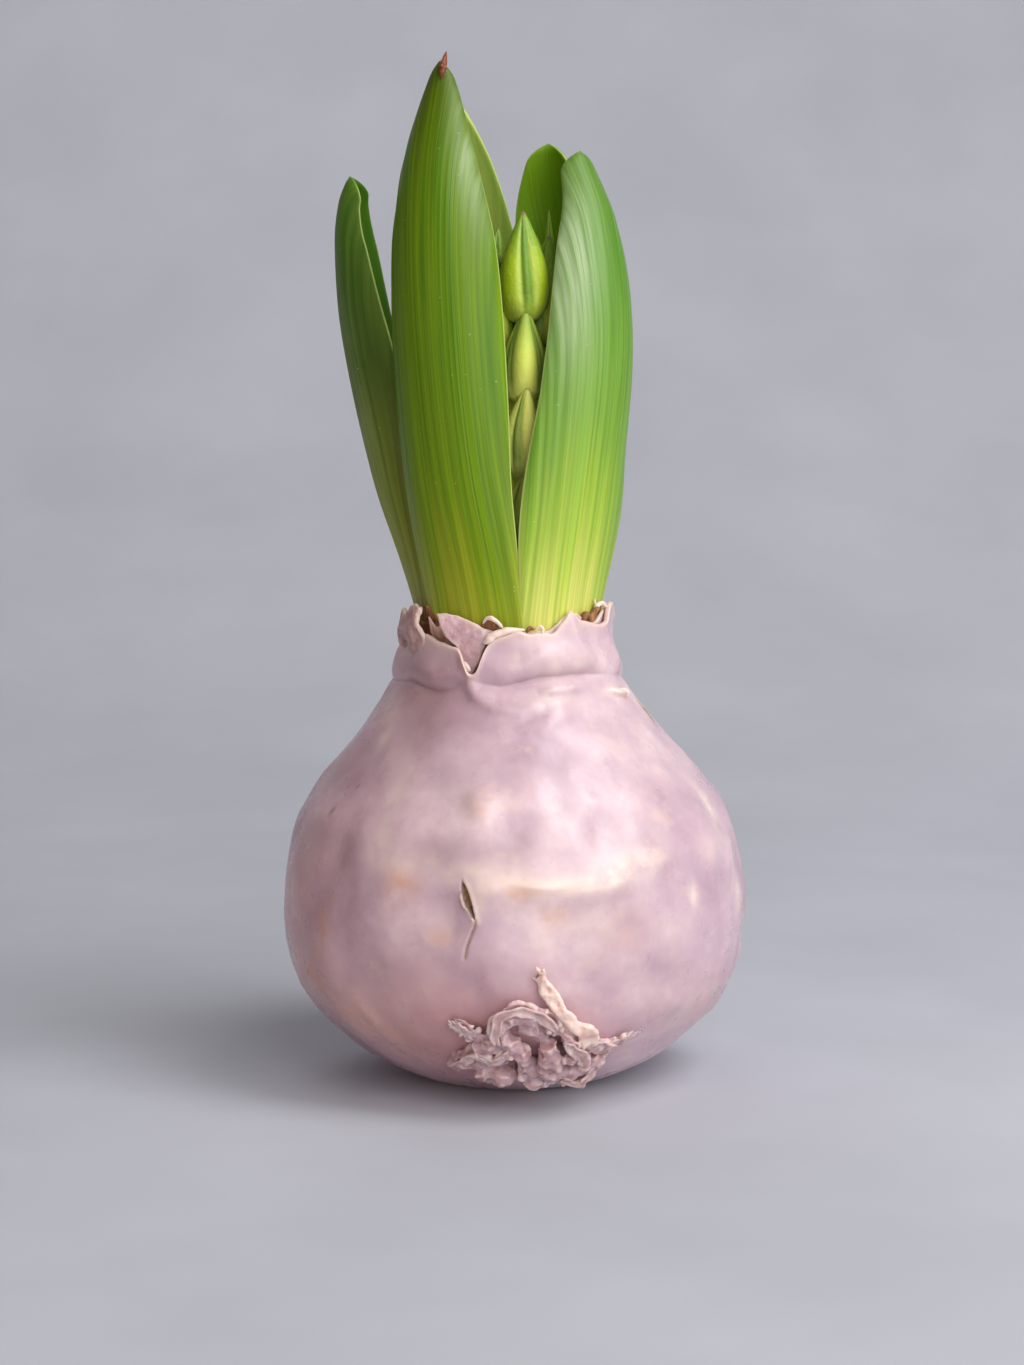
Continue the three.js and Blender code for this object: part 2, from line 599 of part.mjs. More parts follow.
addPiece("wax_coat", waxCoat(), 0xc9a3ad, 0.35);
addPiece("bulb", bulb(), 0x8a5a36, 0.8);
for (const { name, colour, ...shape } of LEAVES) {
  addPiece(name, leaf(shape), colour, 0.5);
}
addPiece("flower_head", flowerHead(), 0xa9c04f, 0.5);

// The origin is the middle of the plant's outer box, at the foot.
const middle = new THREE.Box3().setFromObject(plant).getCenter(new THREE.Vector3());
plant.position.set(-middle.x, -middle.y, 0);

export default plant;
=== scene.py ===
"""A hyacinth bulb in a coat of wax, in early growth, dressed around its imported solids.

Shapes are worked out in millimetres on the bulb's own axis, with z up and the front towards -y.
A bearing is an angle round that axis in degrees: 0 at the front, 90 on the right.
"""

import math

import bpy
import numpy as np
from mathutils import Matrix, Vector


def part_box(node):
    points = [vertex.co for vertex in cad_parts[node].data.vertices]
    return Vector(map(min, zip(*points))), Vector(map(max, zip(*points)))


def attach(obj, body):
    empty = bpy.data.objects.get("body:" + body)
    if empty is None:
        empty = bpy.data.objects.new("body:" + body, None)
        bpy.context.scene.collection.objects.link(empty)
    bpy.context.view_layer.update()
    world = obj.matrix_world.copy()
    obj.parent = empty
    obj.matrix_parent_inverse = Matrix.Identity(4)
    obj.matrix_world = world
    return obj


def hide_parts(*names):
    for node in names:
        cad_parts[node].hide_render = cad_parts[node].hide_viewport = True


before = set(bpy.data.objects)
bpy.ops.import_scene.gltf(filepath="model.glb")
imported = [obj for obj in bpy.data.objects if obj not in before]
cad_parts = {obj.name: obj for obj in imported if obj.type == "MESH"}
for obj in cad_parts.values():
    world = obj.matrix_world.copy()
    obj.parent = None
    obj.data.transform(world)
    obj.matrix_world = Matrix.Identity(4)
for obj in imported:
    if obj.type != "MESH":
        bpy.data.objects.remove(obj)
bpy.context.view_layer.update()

MM = 0.001
bulb_low, bulb_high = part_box("bulb")
AXIS = np.array([(bulb_low.x + bulb_high.x) / 2, (bulb_low.y + bulb_high.y) / 2, 0]) / MM

BULB_WIDTH = 72
RIM_HEIGHT = 71  # where the outline ends; the torn edge is given on its own
FOOT_RADIUS = 12
NECK_SHIFT = -1.1  # the neck's lean to the left
NECK_LEANS = (46, 62)  # the heights over which it does so
WAX_THICKNESS = 2.2
WAX_THICKNESS_RIM = 1.1
PLY_THICKNESS = 0.9  # the outer ply of wax at its torn edge
GAP = 0.3
LEAF_CLEARANCE = 0.42  # between the neck's throat and the leaves' outer faces
THROAT_FLOOR = 58
THROAT_RADIUS = 13.2
THROAT_FLARE = 0.1
LEAF_THICKNESS = 1.7
SCAPE_RADIUS = 3.4
FRAME_HALF = BULB_WIDTH / 2


# ---------------------------------------------------------------- curves and numbers

def chance(seed):
    """A number from 0 to 1 that is always the same for the same seed."""
    wave = math.sin(seed * 12.9898 + 4.1414) * 43758.5453
    return wave - math.floor(wave)


def ease(value, low, high):
    """0 below low, 1 above high, and smooth in between."""
    t = np.clip((value - low) / (high - low), 0, 1)
    return t * t * (3 - 2 * t)


def bell(distance, width):
    """1 at no distance, and fading smoothly over the width."""
    return np.exp(-((distance / width) ** 2))


def wrapped(bearing):
    """A bearing as one from -180 to 180."""
    return (np.asarray(bearing, float) + 180) % 360 - 180


def smooth(rows):
    """A smooth curve through rows of [x, value, ...], as a function from x to an array of the values."""
    table = np.array(rows, float)
    x, y = table[:, 0], table[:, 1:]
    before = np.maximum(np.arange(len(x)) - 1, 0)
    after = np.minimum(np.arange(len(x)) + 1, len(x) - 1)
    slopes = (y[after] - y[before]) / (x[after] - x[before])[:, None]

    def curve(at):
        at = np.clip(np.asarray(at, float), x[0], x[-1])
        i = np.clip(np.searchsorted(x, at) - 1, 0, len(x) - 2)
        step = (x[i + 1] - x[i])[..., None]
        t = (at - x[i])[..., None] / step
        ends = (2 * t**3 - 3 * t**2 + 1) * y[i] + (3 * t**2 - 2 * t**3) * y[i + 1]
        return ends + (t**3 - 2 * t**2 + t) * step * slopes[i] + (t**3 - t**2) * step * slopes[i + 1]

    return curve


def path_through(points):
    """A smooth path through points, as a function from 0 to 1 along its length to the point there."""
    points = np.array(points, float)
    reached = np.r_[0, np.cumsum(np.linalg.norm(np.diff(points, axis=0), axis=1))]
    return smooth(np.c_[reached / reached[-1], points])


def around(table):
    """A table of [bearing, value] that closes on itself, as a function of the bearing."""
    curve = smooth([[bearing + turn, value] for turn in (-360, 0, 360) for bearing, value in table])
    return lambda bearing: curve(wrapped(bearing))[..., 0]


SPREADING = np.array([374761393, 668265263, 1440662683])  # large numbers scatter what they multiply
SEED_SPREADING = 974634777
SECOND_SPREADING = 1274126177
WORD = 0xFFFFFFFF  # the result is kept to 32 bits


def lattice(cell, seed):
    """A random number from -1 to 1 for each whole cell of space."""
    mixed = (np.sum(cell * SPREADING, axis=-1) + seed * SEED_SPREADING) & WORD
    mixed = ((mixed ^ (mixed >> 13)) * SECOND_SPREADING) & WORD
    return ((mixed ^ (mixed >> 16)) & 0xFFFF) / 32767.5 - 1


def grain(points, size, seed=0):
    """Smooth random values from -1 to 1 at points, which wander over about the given size."""
    scaled = np.asarray(points, float) / size
    cell = np.floor(scaled).astype(np.int64)
    t = scaled - cell
    t = t * t * (3 - 2 * t)
    total = 0
    for corner in np.ndindex(2, 2, 2):
        weight = np.prod(np.where(np.array(corner) == 1, t, 1 - t), axis=-1)
        total = total + weight * lattice(cell + np.array(corner), seed)
    return total


def waves(points, table, seed):
    """Several grains as one, from rows of (size, how far) and seeds that count up."""
    return sum(far * grain(points, size, seed + k) for k, (size, far) in enumerate(table))


def unit(vectors):
    return vectors / np.maximum(np.linalg.norm(vectors, axis=-1, keepdims=True), 1e-9)


def square_to(vectors, axis):
    """Vectors turned square to an axis, at unit length."""
    return unit(vectors - np.sum(vectors * axis, -1, keepdims=True) * axis)


def rolled(path, share, step, sides):
    """The middle of a roll along a path, at shares of its length, and the ways out from it all round."""
    centre = path(share)
    tangent = unit(path(np.minimum(share + step, 1)) - path(np.maximum(share - step, 0)))
    outward = square_to(unit(centre * [1, 1, 0]), tangent)
    across = np.cross(tangent, outward)
    angle = np.linspace(0, 2 * math.pi, sides, endpoint=False)[None, :, None]
    return centre[:, None], outward[:, None] * np.cos(angle) + across[:, None] * np.sin(angle)


# ---------------------------------------------------------------- meshes

def add_marks(mesh, marks):
    """Named values at a mesh's points, which its material reads."""
    for name, values in marks.items():
        layer = mesh.attributes.new(name, "FLOAT", "POINT")
        layer.data.foreach_set("value", np.asarray(values, np.float32).ravel())


def make_piece(name, points, faces, material, slot, replaced=(), marks=None):
    """A smooth mesh from points in millimetres. marks are named values, one for each point."""
    mesh = bpy.data.meshes.new(name)
    mesh.from_pydata((np.asarray(points) + AXIS) * MM, [], [tuple(face) for face in faces])
    mesh.validate()
    add_marks(mesh, marks or {})
    mesh.shade_smooth()
    piece = bpy.data.objects.new(name, mesh)
    bpy.context.scene.collection.objects.link(piece)
    mesh.materials.append(material)
    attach(piece, "root")
    if replaced:
        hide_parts(*replaced)
    return piece


def tube(rings, first, last):
    """Points and faces of a closed tube from an array of rings of points and a point at each end."""
    count, sides = rings.shape[:2]
    points = np.vstack([first, rings.reshape(-1, 3), last])
    ring, side = np.meshgrid(np.arange(count - 1), np.arange(sides), indexing="ij")
    a = 1 + ring * sides + side
    b = 1 + ring * sides + (side + 1) % sides
    quads = np.stack([a, b, b + sides, a + sides], -1).reshape(-1, 4)
    k = np.arange(sides)
    ahead = (k + 1) % sides
    near = np.stack([0 * k, 1 + ahead, 1 + k], -1)
    start = 1 + (count - 1) * sides
    far = np.stack([0 * k + count * sides + 1, start + k, start + ahead], -1)
    return points, [*quads.tolist(), *near.tolist(), *far.tolist()]


def sheet(middle, normal, half):
    """A thick sheet from a grid of points on its middle, whose two faces share the border.
    Gives its points and faces, and where the grid isn't border."""
    rows, columns = half.shape
    outer = (middle + normal * half[..., None]).reshape(-1, 3)
    inner = middle - normal * half[..., None]
    border = np.zeros((rows, columns), bool)
    border[[0, -1], :] = True
    border[:, [0, -1]] = True
    index = np.arange(rows * columns).reshape(rows, columns)
    second = index.copy()
    second[~border] = rows * columns + np.arange((~border).sum())

    def quads(grid):
        return np.stack([grid[:-1, :-1], grid[:-1, 1:], grid[1:, 1:], grid[1:, :-1]], -1).reshape(-1, 4)

    points = np.vstack([outer, inner[~border]])
    return points, [*quads(index).tolist(), *quads(second)[:, ::-1].tolist()], ~border


def border_distance(middle):
    """How far each point of a grid lies from its nearest edge, along the grid."""
    along = np.cumsum(np.linalg.norm(np.diff(middle, axis=0, prepend=middle[:1]), axis=-1), axis=0)
    across = np.cumsum(np.linalg.norm(np.diff(middle, axis=1, prepend=middle[:, :1]), axis=-1), axis=1)
    return np.minimum(np.minimum(along, along[-1] - along), np.minimum(across, across[:, -1:] - across))


EDGE_FADE = 0.5  # how far a torn edge's paleness reaches into a sheet


def rounded(middle, thickness):
    """The half thickness of a sheet with a round edge, and how near each point is to that edge."""
    distance = border_distance(middle)
    inward = np.clip(1 - distance / (thickness / 2), 0, 1)
    half = thickness / 2 * np.sqrt(1 - inward**2)
    half[[0, -1], :] = 0
    half[:, [0, -1]] = 0
    return half, np.exp(-distance / EDGE_FADE)


def grid_normal(middle):
    """Normals of a grid whose rows go up and whose columns go to the right, seen from outside."""
    return unit(np.cross(np.gradient(middle, axis=1), np.gradient(middle, axis=0)))


def spread(count):
    """Shares from 0 to 1 that lie closer together near both ends."""
    return (1 - np.cos(np.linspace(0, math.pi, count))) / 2


def both_faces(values, inside):
    """A grid of values for a sheet's points: the outer face, then the inner one without its border."""
    return np.concatenate([values.ravel(), values[inside]])


def join_parts(parts):
    """Several (points, faces) as one."""
    points, faces, start = [], [], 0
    for part_points, part_faces in parts:
        points.append(part_points)
        faces += [[corner + start for corner in face] for face in part_faces]
        start += len(part_points)
    return np.vstack(points), faces


# ---------------------------------------------------------------- the bulb's outline

OUTLINE = np.array([
    [0.334, 0], [0.42, 0.006], [0.53, 0.027], [0.66, 0.063], [0.78, 0.113], [0.885, 0.168],
    [0.965, 0.245], [1, 0.36], [0.985, 0.485], [0.917, 0.59], [0.78, 0.69], [0.63, 0.78],
    [0.518, 0.852], [0.474, 0.905], [0.455, 0.955], [0.45, 1],
]) * [FRAME_HALF, RIM_HEIGHT]
OUTLINE[0, 0] = FOOT_RADIUS
outline = path_through(OUTLINE)
OUTLINE_LENGTH = np.linalg.norm(np.diff(OUTLINE, axis=0), axis=1).sum()
FINE_SHARES = np.linspace(0, 1, 2001)
FINE_HEIGHTS = outline(FINE_SHARES)[:, 1]


def share_at(height):
    return np.interp(height, FINE_HEIGHTS, FINE_SHARES)


def outline_inset(share, inset):
    """The outline's point at a share of its length, moved inwards square to it."""
    ahead, behind = outline(np.minimum(share + 0.01, 1)), outline(np.maximum(share - 0.01, 0))
    step = unit(ahead - behind)
    square = np.stack([-step[..., 1], step[..., 0]], -1)
    return outline(share) + np.asarray(inset, float)[..., None] * square


def axis_shift(height):
    return NECK_SHIFT * ease(height, *NECK_LEANS)


def turned(radius, height, bearing):
    """A point on a turned body, with the neck's lean."""
    angle = np.radians(bearing)
    radius, height, angle = np.broadcast_arrays(radius, height, angle)
    return np.stack([axis_shift(height) + radius * np.sin(angle), -radius * np.cos(angle), height], -1)


def on_coat(bearing, height, lift):
    """A point that stands out of the coat's outline by lift, square to it."""
    place = outline_inset(share_at(height), -np.asarray(lift, float))
    return turned(place[..., 0], place[..., 1], bearing)


def on_neck(bearing, height, out):
    """A point that stands out from the neck's outline by out, level."""
    radius = outline(share_at(np.minimum(height, RIM_HEIGHT)))[..., 0]
    return turned(radius + out, height, bearing)


# ---------------------------------------------------------------- the wax coat

# Soft lumps and dents of the coat: [bearing, height, half width across, half width up, how far out].
NAMED_LUMPS = [
    [5, 36.6, 19, 2.8, 0.55],  # the long ridge across the front
    [-10, 47, 2.6, 2.4, 1.1],
    [-5.5, 33.8, 3.4, 4.2, 0.6],  # the raised lip of the split
    [-15, 32, 2.6, 4.5, -0.5],
    [60, 45, 5, 4.5, 0.5],
    [-62, 50, 5, 4, -0.5],
    [24, 52, 7, 5, -0.35],
    [-38, 24, 8, 6, 0.4],
    [34, 19, 8, 5, -0.4],
]
RANDOM_LUMPS = 60


def random_lump(seed):
    """One more lump or dent, anywhere on the coat."""
    size = 3 + 4 * chance(seed + 0.3)
    bearing = 360 * chance(seed + 100)
    height = 8 + 44 * chance(seed + 200)
    return [bearing, height, size, size, 1.6 * (chance(seed + 300) - 0.5)]


LUMPS = NAMED_LUMPS + [random_lump(seed) for seed in range(RANDOM_LUMPS)]

# The crease under the rim: [bearing, height] and [bearing, depth].
crease_height = around([
    [-150, 62.4], [-120, 63.2], [-90, 62.2], [-70, 62.6], [-57, 62.9], [-45, 62.3], [-36, 62.0],
    [-28, 62.6], [-20, 64], [-12, 63.4], [-4, 63.0], [0, 63.1], [8, 63.6], [16, 64.1], [28, 64.3],
    [48, 64.2], [75, 63.2], [100, 62.2], [130, 63.0], [165, 62.0],
])
crease_depth = around([
    [-150, 0.8], [-110, 0.6], [-75, 0.7], [-57, 0.9], [-45, 1.0], [-36, 1.0], [-28, 0.4], [-20, 0.05],
    [-12, 0.2], [-4, 0.7], [6, 1.2], [15, 1.5], [32, 1.5], [45, 1.0], [60, 0.4], [90, 0.6], [130, 0.9],
    [165, 0.6],
])
CREASE_WIDTH = 0.6
ROLL_RISE = 0.9  # the fold of wax that stands out above the crease
ROLL_WIDTH = 2.6
DEEPEST_DENT = 1.5
COAT_WAVES = [(6, 0.38), (3.2, 0.1)]  # the lumpiness of the whole coat: (size, how far)
COAT_BEGINS = (0.5, 4)  # the heights over which the relief begins, above the flat foot

# The height of the torn edge: [bearing, height].
outer_rim = around([
    [-172, 72], [-160, 70.6], [-145, 72], [-130, 73], [-116, 70.8], [-100, 72.4], [-90, 71],
    [-76, 69.6], [-64, 69.4], [-56, 69.4], [-51, 69.9], [-48, 69.7], [-39, 68.9], [-33, 68.5],
    [-27, 68.1], [-23.4, 67.2], [-21.4, 66.2], [-19.2, 64.8], [-16.6, 64.6], [-14.4, 65.6], [-13, 67],
    [-11.5, 68.3], [-9, 69.2], [-3, 69.9], [5, 70.7], [18, 70.6], [27, 70.8], [33, 72.4], [38, 73.4],
    [42, 72.5], [49, 72], [60, 71.3], [67, 72], [73, 74], [81, 73.8], [90, 72.4], [102, 71],
    [114, 72.4], [128, 70.4], [142, 72.8], [156, 71.4], [170, 70.8],
])
STRETCH_FROM = 56  # the height from which the coat's outline is stretched to that edge
RIM_GRAIN_RADIUS = 16  # the circle on which the rim's raggedness is drawn
RIM_BEHIND = (84, 100)  # past these bearings it is more ragged, at random


def rim_level(bearing):
    """The torn edge, with its fine raggedness."""
    place = turned(RIM_GRAIN_RADIUS, 0, bearing)
    behind = ease(np.abs(wrapped(bearing)), *RIM_BEHIND)
    return (outer_rim(bearing) + 0.22 * grain(place, 1.6, 3) + 0.1 * grain(place, 0.6, 4)
            + behind * (0.7 * grain(place, 3.4, 5) - 0.5 * np.abs(grain(place, 1.3, 6))))


def stretched(height, rim, low=STRETCH_FROM):
    """Heights above a low one are stretched, so that the outline ends on the torn edge."""
    return np.where(height <= low, height, low + (height - low) * (rim - low) / (RIM_HEIGHT - low))


# Soft ridges, and creases where the amount is negative: the half width, then [bearing, height, amount]
# along each.
RIDGES = [
    [1.2, [-20, 64, 0.4], [-15, 61.8, 0.9], [-7, 60.4, 0.9], [6, 59.6, 0.7], [17, 60, 0]],
    [0.6, [58.5, 61.6, 0.4], [61, 61.4, 1.1], [70, 60.8, 1.1], [72.5, 60.6, 0.3]],
    [1.0, [14, 62.2, 0], [22, 62.5, 0.8], [34, 62.7, 0.8], [46, 62.4, 0]],
    [1.6, [8, 57.4, 0], [16, 58, 0.5], [24, 59.4, 0.5], [32, 60, 0]],
    [0.7, [-3, 36.4, 0], [3, 35.7, 0.22], [9, 35.4, 0.22], [16, 35.9, 0]],
    [1.3, [6, 67.6, 0], [16, 67.8, 0.4], [30, 68.2, 0.4], [38, 68, 0]],
    [1.3, [37.5, 72.6, 0.5], [39, 70, 0.7], [43, 67.6, 0.6], [50, 65.6, 0]],
    [0.9, [45, 71.5, 0], [49, 69.4, -0.5], [53, 67, -0.5], [58, 65, 0]],
    [1.2, [66, 72, 0.3], [68, 68.6, 0.5], [73, 66, 0.4], [76, 63.5, 0]],
    [0.8, [58, 70.6, 0], [61, 68, -0.4], [66, 65.4, -0.3], [70, 63.6, 0]],
    [1.4, [-26, 66.4, 0], [-31, 65.4, 0.4], [-38, 64.8, 0.5], [-46, 65.2, 0.3], [-52, 66, 0]],
    [0.9, [-58, 69, 0], [-61, 66.6, -0.5], [-66, 64.6, -0.3], [-70, 63, 0]],
    [1.0, [-76, 70, 0.4], [-80, 67, 0.5], [-84, 64.4, 0]],
    [1.6, [-50, 14, 0], [-44, 17, 0.3], [-40, 14, 0.4], [-36, 9, 0.2], [-33, 6, 0]],
]


def spots(table, bearing, height, radius):
    """The sum of soft spots on the coat: [bearing, height, half width across, half width up, amount]."""
    total = np.zeros(np.broadcast(bearing, height, radius).shape)
    for spot_bearing, spot_height, across, up, amount in table:
        sideways = np.radians(wrapped(bearing - spot_bearing)) * radius / across
        upwards = (height - spot_height) / up
        total += amount * np.exp(-sideways**2 - upwards**2)
    return total


def ridges(bearing, height, radius):
    """The sum of the soft ridges, on the coat laid flat round the middle of each."""
    total = np.zeros(np.broadcast(bearing, height, radius).shape)
    for width, *places in RIDGES:
        places = np.array(places, float)
        middle = places[:, 0].mean()
        degree = np.radians(1) * np.mean(radius[np.abs(height - places[:, 1].mean()) < 2])
        flat = np.stack([middle * degree + np.radians(wrapped(bearing) - middle) * radius, height], -1)
        distance, amount = near_path(flat, places * [degree, 1, 1])
        total += amount * bell(distance, width)
    return total


def relief(bearing, height, radius):
    """How far the wax stands out from its outline."""
    out = spots(LUMPS, bearing, height, radius) + ridges(bearing, height, radius)
    above = height - crease_height(bearing)
    out -= crease_depth(bearing) * np.exp(-np.abs(above) / CREASE_WIDTH)
    out += ROLL_RISE * bell(above - ROLL_WIDTH, ROLL_WIDTH)
    out += waves(turned(radius, height, bearing), COAT_WAVES, 1)
    return np.maximum(out, -DEEPEST_DENT) * ease(height, *COAT_BEGINS)


# Where the wax is pale, with painted highlights among the pale spots; yellowish; stained, with painted
# shade among the stains;
# or darkened by painted warm shade: [bearing, height, half width across, half width up, amount].
# Pale spots: partly the wax's own paler colour, partly painted highlights along the ridge across the
# front, beside the split and on the neck.
PALE_AND_HIGHLIGHTS = [
    [-8.4, 34, 1.2, 2.6, 0.8], [-14.6, 36.6, 1.6, 1.4, 0.4], [30, 66, 6, 3, 0.6],
    [20, 60.6, 5, 1.6, 0.5], [-26.7, 38.3, 5, 2, 0.7], [-9.7, 38, 4, 1.2, 0.5], [-3, 36.8, 5, 2, 0.8],
    [6, 35.6, 5, 1.4, 0.9], [14, 35.8, 5, 1.1, 0.9], [22, 36.6, 4, 1.6, 0.8], [28, 37.8, 5, 2, 0.7],
    [36, 39.4, 4, 2.4, 0.6], [48.3, 32.4, 1.3, 1.8, 0.9], [72.5, 30.8, 1.8, 3, 0.8],
    [67.5, 43.5, 2.4, 3.6, 0.9], [63, 61.2, 3, 0.9, 1.0], [-36.4, 40.7, 3, 2.6, 0.6],
    [-55.8, 54.4, 1.4, 1.6, 0.8], [-18, 28.4, 2.2, 1.6, 0.5], [20, 31, 7, 4, 0.4], [-38, 48, 2, 4, 0.4],
    [38, 28, 3, 2.4, 0.3], [6.5, 27, 2, 1.4, 0.5], [58, 38, 2.5, 2, 0.4], [150, 40, 6, 4, 0.6],
    [-120, 35, 6, 3, 0.6], [110, 28, 5, 4, 0.5], [-150, 46, 4, 4, 0.5], [180, 24, 6, 4, 0.5],
]
WARM = [
    [0.9, 34.8, 3, 2.2, 0.7], [-28.7, 35.6, 2.6, 2.6, 0.8], [-52.5, 27.3, 1.6, 2.8, 0.9],
    [-56.3, 22.3, 2.2, 2, 0.8], [-59.8, 18.4, 3, 2.2, 1.0], [9.4, 31.4, 2.4, 2, 0.6],
    [-18, 28, 1.6, 1.4, 0.7], [-9.6, 46.2, 1.2, 1.1, 0.8], [72, 60.6, 1.4, 0.9, 1.0],
    [-47, 15, 5, 4, 0.7], [-38, 12, 5, 4, 0.5], [28, 27.9, 4, 3.4, 0.3], [-66, 33, 3, 5, 0.4],
    [130, 33, 4, 3, 0.6], [-140, 26, 4, 3, 0.6], [165, 34, 3, 3, 0.5], [88, 36, 3, 4, 0.4],
]
# Stains: real dark specks, and painted shade on the left of the neck and shoulder and below the crease.
STAINS_AND_SHADE = [
    [-34, 57.6, 4, 5, 0.6], [-46, 66, 9, 5, 0.4], [-46, 52, 10, 8, 0.22], [-47, 38.4, 1.6, 2.6, 0.5],
    [-59.3, 44, 0.5, 0.6, 1.4], [-55, 47.7, 0.35, 0.3, 1.2], [-20, 40, 5, 3, 0.2], [-30, 22, 5, 4, 0.3],
    [-2, 41, 8, 2, 0.2], [40, 22, 5, 3, 0.25], [-13.6, 47.4, 1.6, 2, 0.3], [100, 45, 5, 5, 0.3],
    [-160, 36, 5, 4, 0.3],
]
# Painted warm shade, low down and on the left.
WARM_SHADE = [
    [-22, 15, 14, 9, 0.9], [-62, 22, 9, 12, 0.6], [-45, 62, 9, 5, 0.5], [4, 12, 12, 7, 0.6],
    [60, 14, 12, 6, 0.4], [-62, 40, 14, 16, 0.4], [-10, 9, 14, 5, 0.4], [150, 14, 16, 8, 0.5],
    [-140, 14, 16, 8, 0.5],
]
TEAR = [[86, 57.4, 0.9, 2.0, 1.3], [84, 55.6, 0.7, 1.2, 1.0]]  # a torn spot on the right shoulder

# The split in the wax: [x, z, 0] round its outline, and the hairline crack that runs down from it.
SPLIT = np.array([
    [-7.9, 36.6, 0], [-7.2, 35.9, 0], [-6.75, 34.9, 0], [-6.35, 33.6, 0], [-6.0, 32.0, 0],
    [-5.75, 30.7, 0], [-6.4, 31.3, 0], [-7.0, 32.1, 0], [-7.6, 33.2, 0], [-7.95, 34.4, 0],
    [-8.0, 35.6, 0], [-7.9, 36.6, 0],
])
HAIRLINE = np.array([
    [-5.75, 30.7, 0], [-5.95, 29.9, 0], [-6.5, 28.6, 0], [-7.1, 26.9, 0], [-7.45, 25.2, 0],
])
SPLIT_DEPTH = 1.1
SPLIT_WALL = 0.25  # how far in from its outline the split reaches its depth
HAIRLINE_DEPTH = 0.35
HAIRLINE_WIDTH = 0.2
LIP_WIDTH = 0.5  # the wax swells beside the split, on its right
LIP_RISE = 0.3


def near_path(points, path):
    """How far points of a plane lie from a path of [x, y, amount], and the amount nearest to them."""
    nearest = np.full(points.shape[:-1], 1e9)
    amount = np.zeros(points.shape[:-1])
    for start, end in zip(path[:-1], path[1:]):
        leg = end[:2] - start[:2]
        t = np.clip(((points - start[:2]) @ leg) / (leg @ leg), 0, 1)
        distance = np.linalg.norm(points - start[:2] - t[..., None] * leg, axis=-1)
        amount = np.where(distance < nearest, start[2] + t * (end[2] - start[2]), amount)
        nearest = np.minimum(nearest, distance)
    return nearest, amount


def inside_outline(points, line):
    """Whether points of a plane lie within a closed line."""
    within = np.zeros(points.shape[:-1], bool)
    for start, end in zip(line[:-1], line[1:]):
        crosses = (start[1] > points[..., 1]) != (end[1] > points[..., 1])
        rise = end[1] - start[1]
        where = start[0] + (points[..., 1] - start[1]) * (end[0] - start[0]) / (rise if rise else 1)
        within ^= crosses & (points[..., 0] < where)
    return within


def split_marks(place):
    """How far the split and its hairline sink each point of the coat, how much of the bulb's skin
    shows there, and how near the point is to the split's lip."""
    flat = place[..., [0, 2]]
    front = place[..., 1] < 0
    edge = near_path(flat, SPLIT)[0]
    within = inside_outline(flat, SPLIT) & front
    sunk = np.where(within, SPLIT_DEPTH * ease(edge, 0, SPLIT_WALL), 0)
    skin_shows = np.where(within, ease(edge, 0.05, 0.3), 0)
    hair = near_path(flat, HAIRLINE)[0]
    sunk = np.maximum(sunk, np.where(front, HAIRLINE_DEPTH * bell(hair, HAIRLINE_WIDTH), 0))
    skin_shows = np.maximum(skin_shows, np.where(front, 0.7 * bell(hair, 0.85 * HAIRLINE_WIDTH), 0))
    right = ease(flat[..., 0] + 0.17 * (flat[..., 1] - 33.6), -7.3, -6.7)
    lip = np.where(front & ~within, right * bell(edge, LIP_WIDTH), 0)
    return sunk - LIP_RISE * lip, skin_shows, lip


ROW_STEP = 0.75
FINE_ROW_STEP = 0.25
FINE_ROWS = [(24, 38), (58, 80)]  # the heights of the split and of the neck


def coat_shares():
    """Shares of the outline's length for the coat's rows, closer at the split and up the neck."""
    shares = [0.0]
    while shares[-1] < 1:
        height = outline(shares[-1])[1]
        fine = any(low < height < high for low, high in FINE_ROWS)
        shares.append(shares[-1] + (FINE_ROW_STEP if fine else ROW_STEP) / OUTLINE_LENGTH)
    shares[-1] = 1.0
    return np.array(shares)


def coat_bearings():
    """Bearings of the coat's columns, closest at the split and at the crack in the rim."""
    return np.r_[-24:-4:0.35, -4:90:0.9, 90:270:2, 270:336:0.9]


WAX_THINS = (0.88, 0.98)  # the shares of the outline over which the wax thins towards its rim


def wax_inset(share):
    return WAX_THICKNESS + (WAX_THICKNESS_RIM - WAX_THICKNESS) * ease(share, *WAX_THINS)


LIP_ROWS = 6
# How far the rim flares out: [bearing, distance].
lip_flare = around([
    [-170, 0.2], [-140, 0.5], [-110, 0.1], [-90, -0.4], [-60, -0.4], [-50, 0.1], [-42, 0.2],
    [-34, 0.05], [-27, 0.2], [-22, 0.6], [-19, 0.7], [-17, 0.6], [-14, 0.5], [-11, 0.3], [-5, 0.1],
    [8, 0.1], [25, 0.1], [33, -0.1], [38, -0.5], [43, -0.2], [55, 0.1], [68, 0.3], [74, 0.5], [84, 0.3],
    [110, 0.4], [140, 0.2],
])
LIP_FLATNESS = 0.8
FLARE_REACH = 0.9  # how far down from the rim it flares
RIM_EDGE_REACH = 0.55  # and is pale as a torn edge
INNER_ROWS = 28


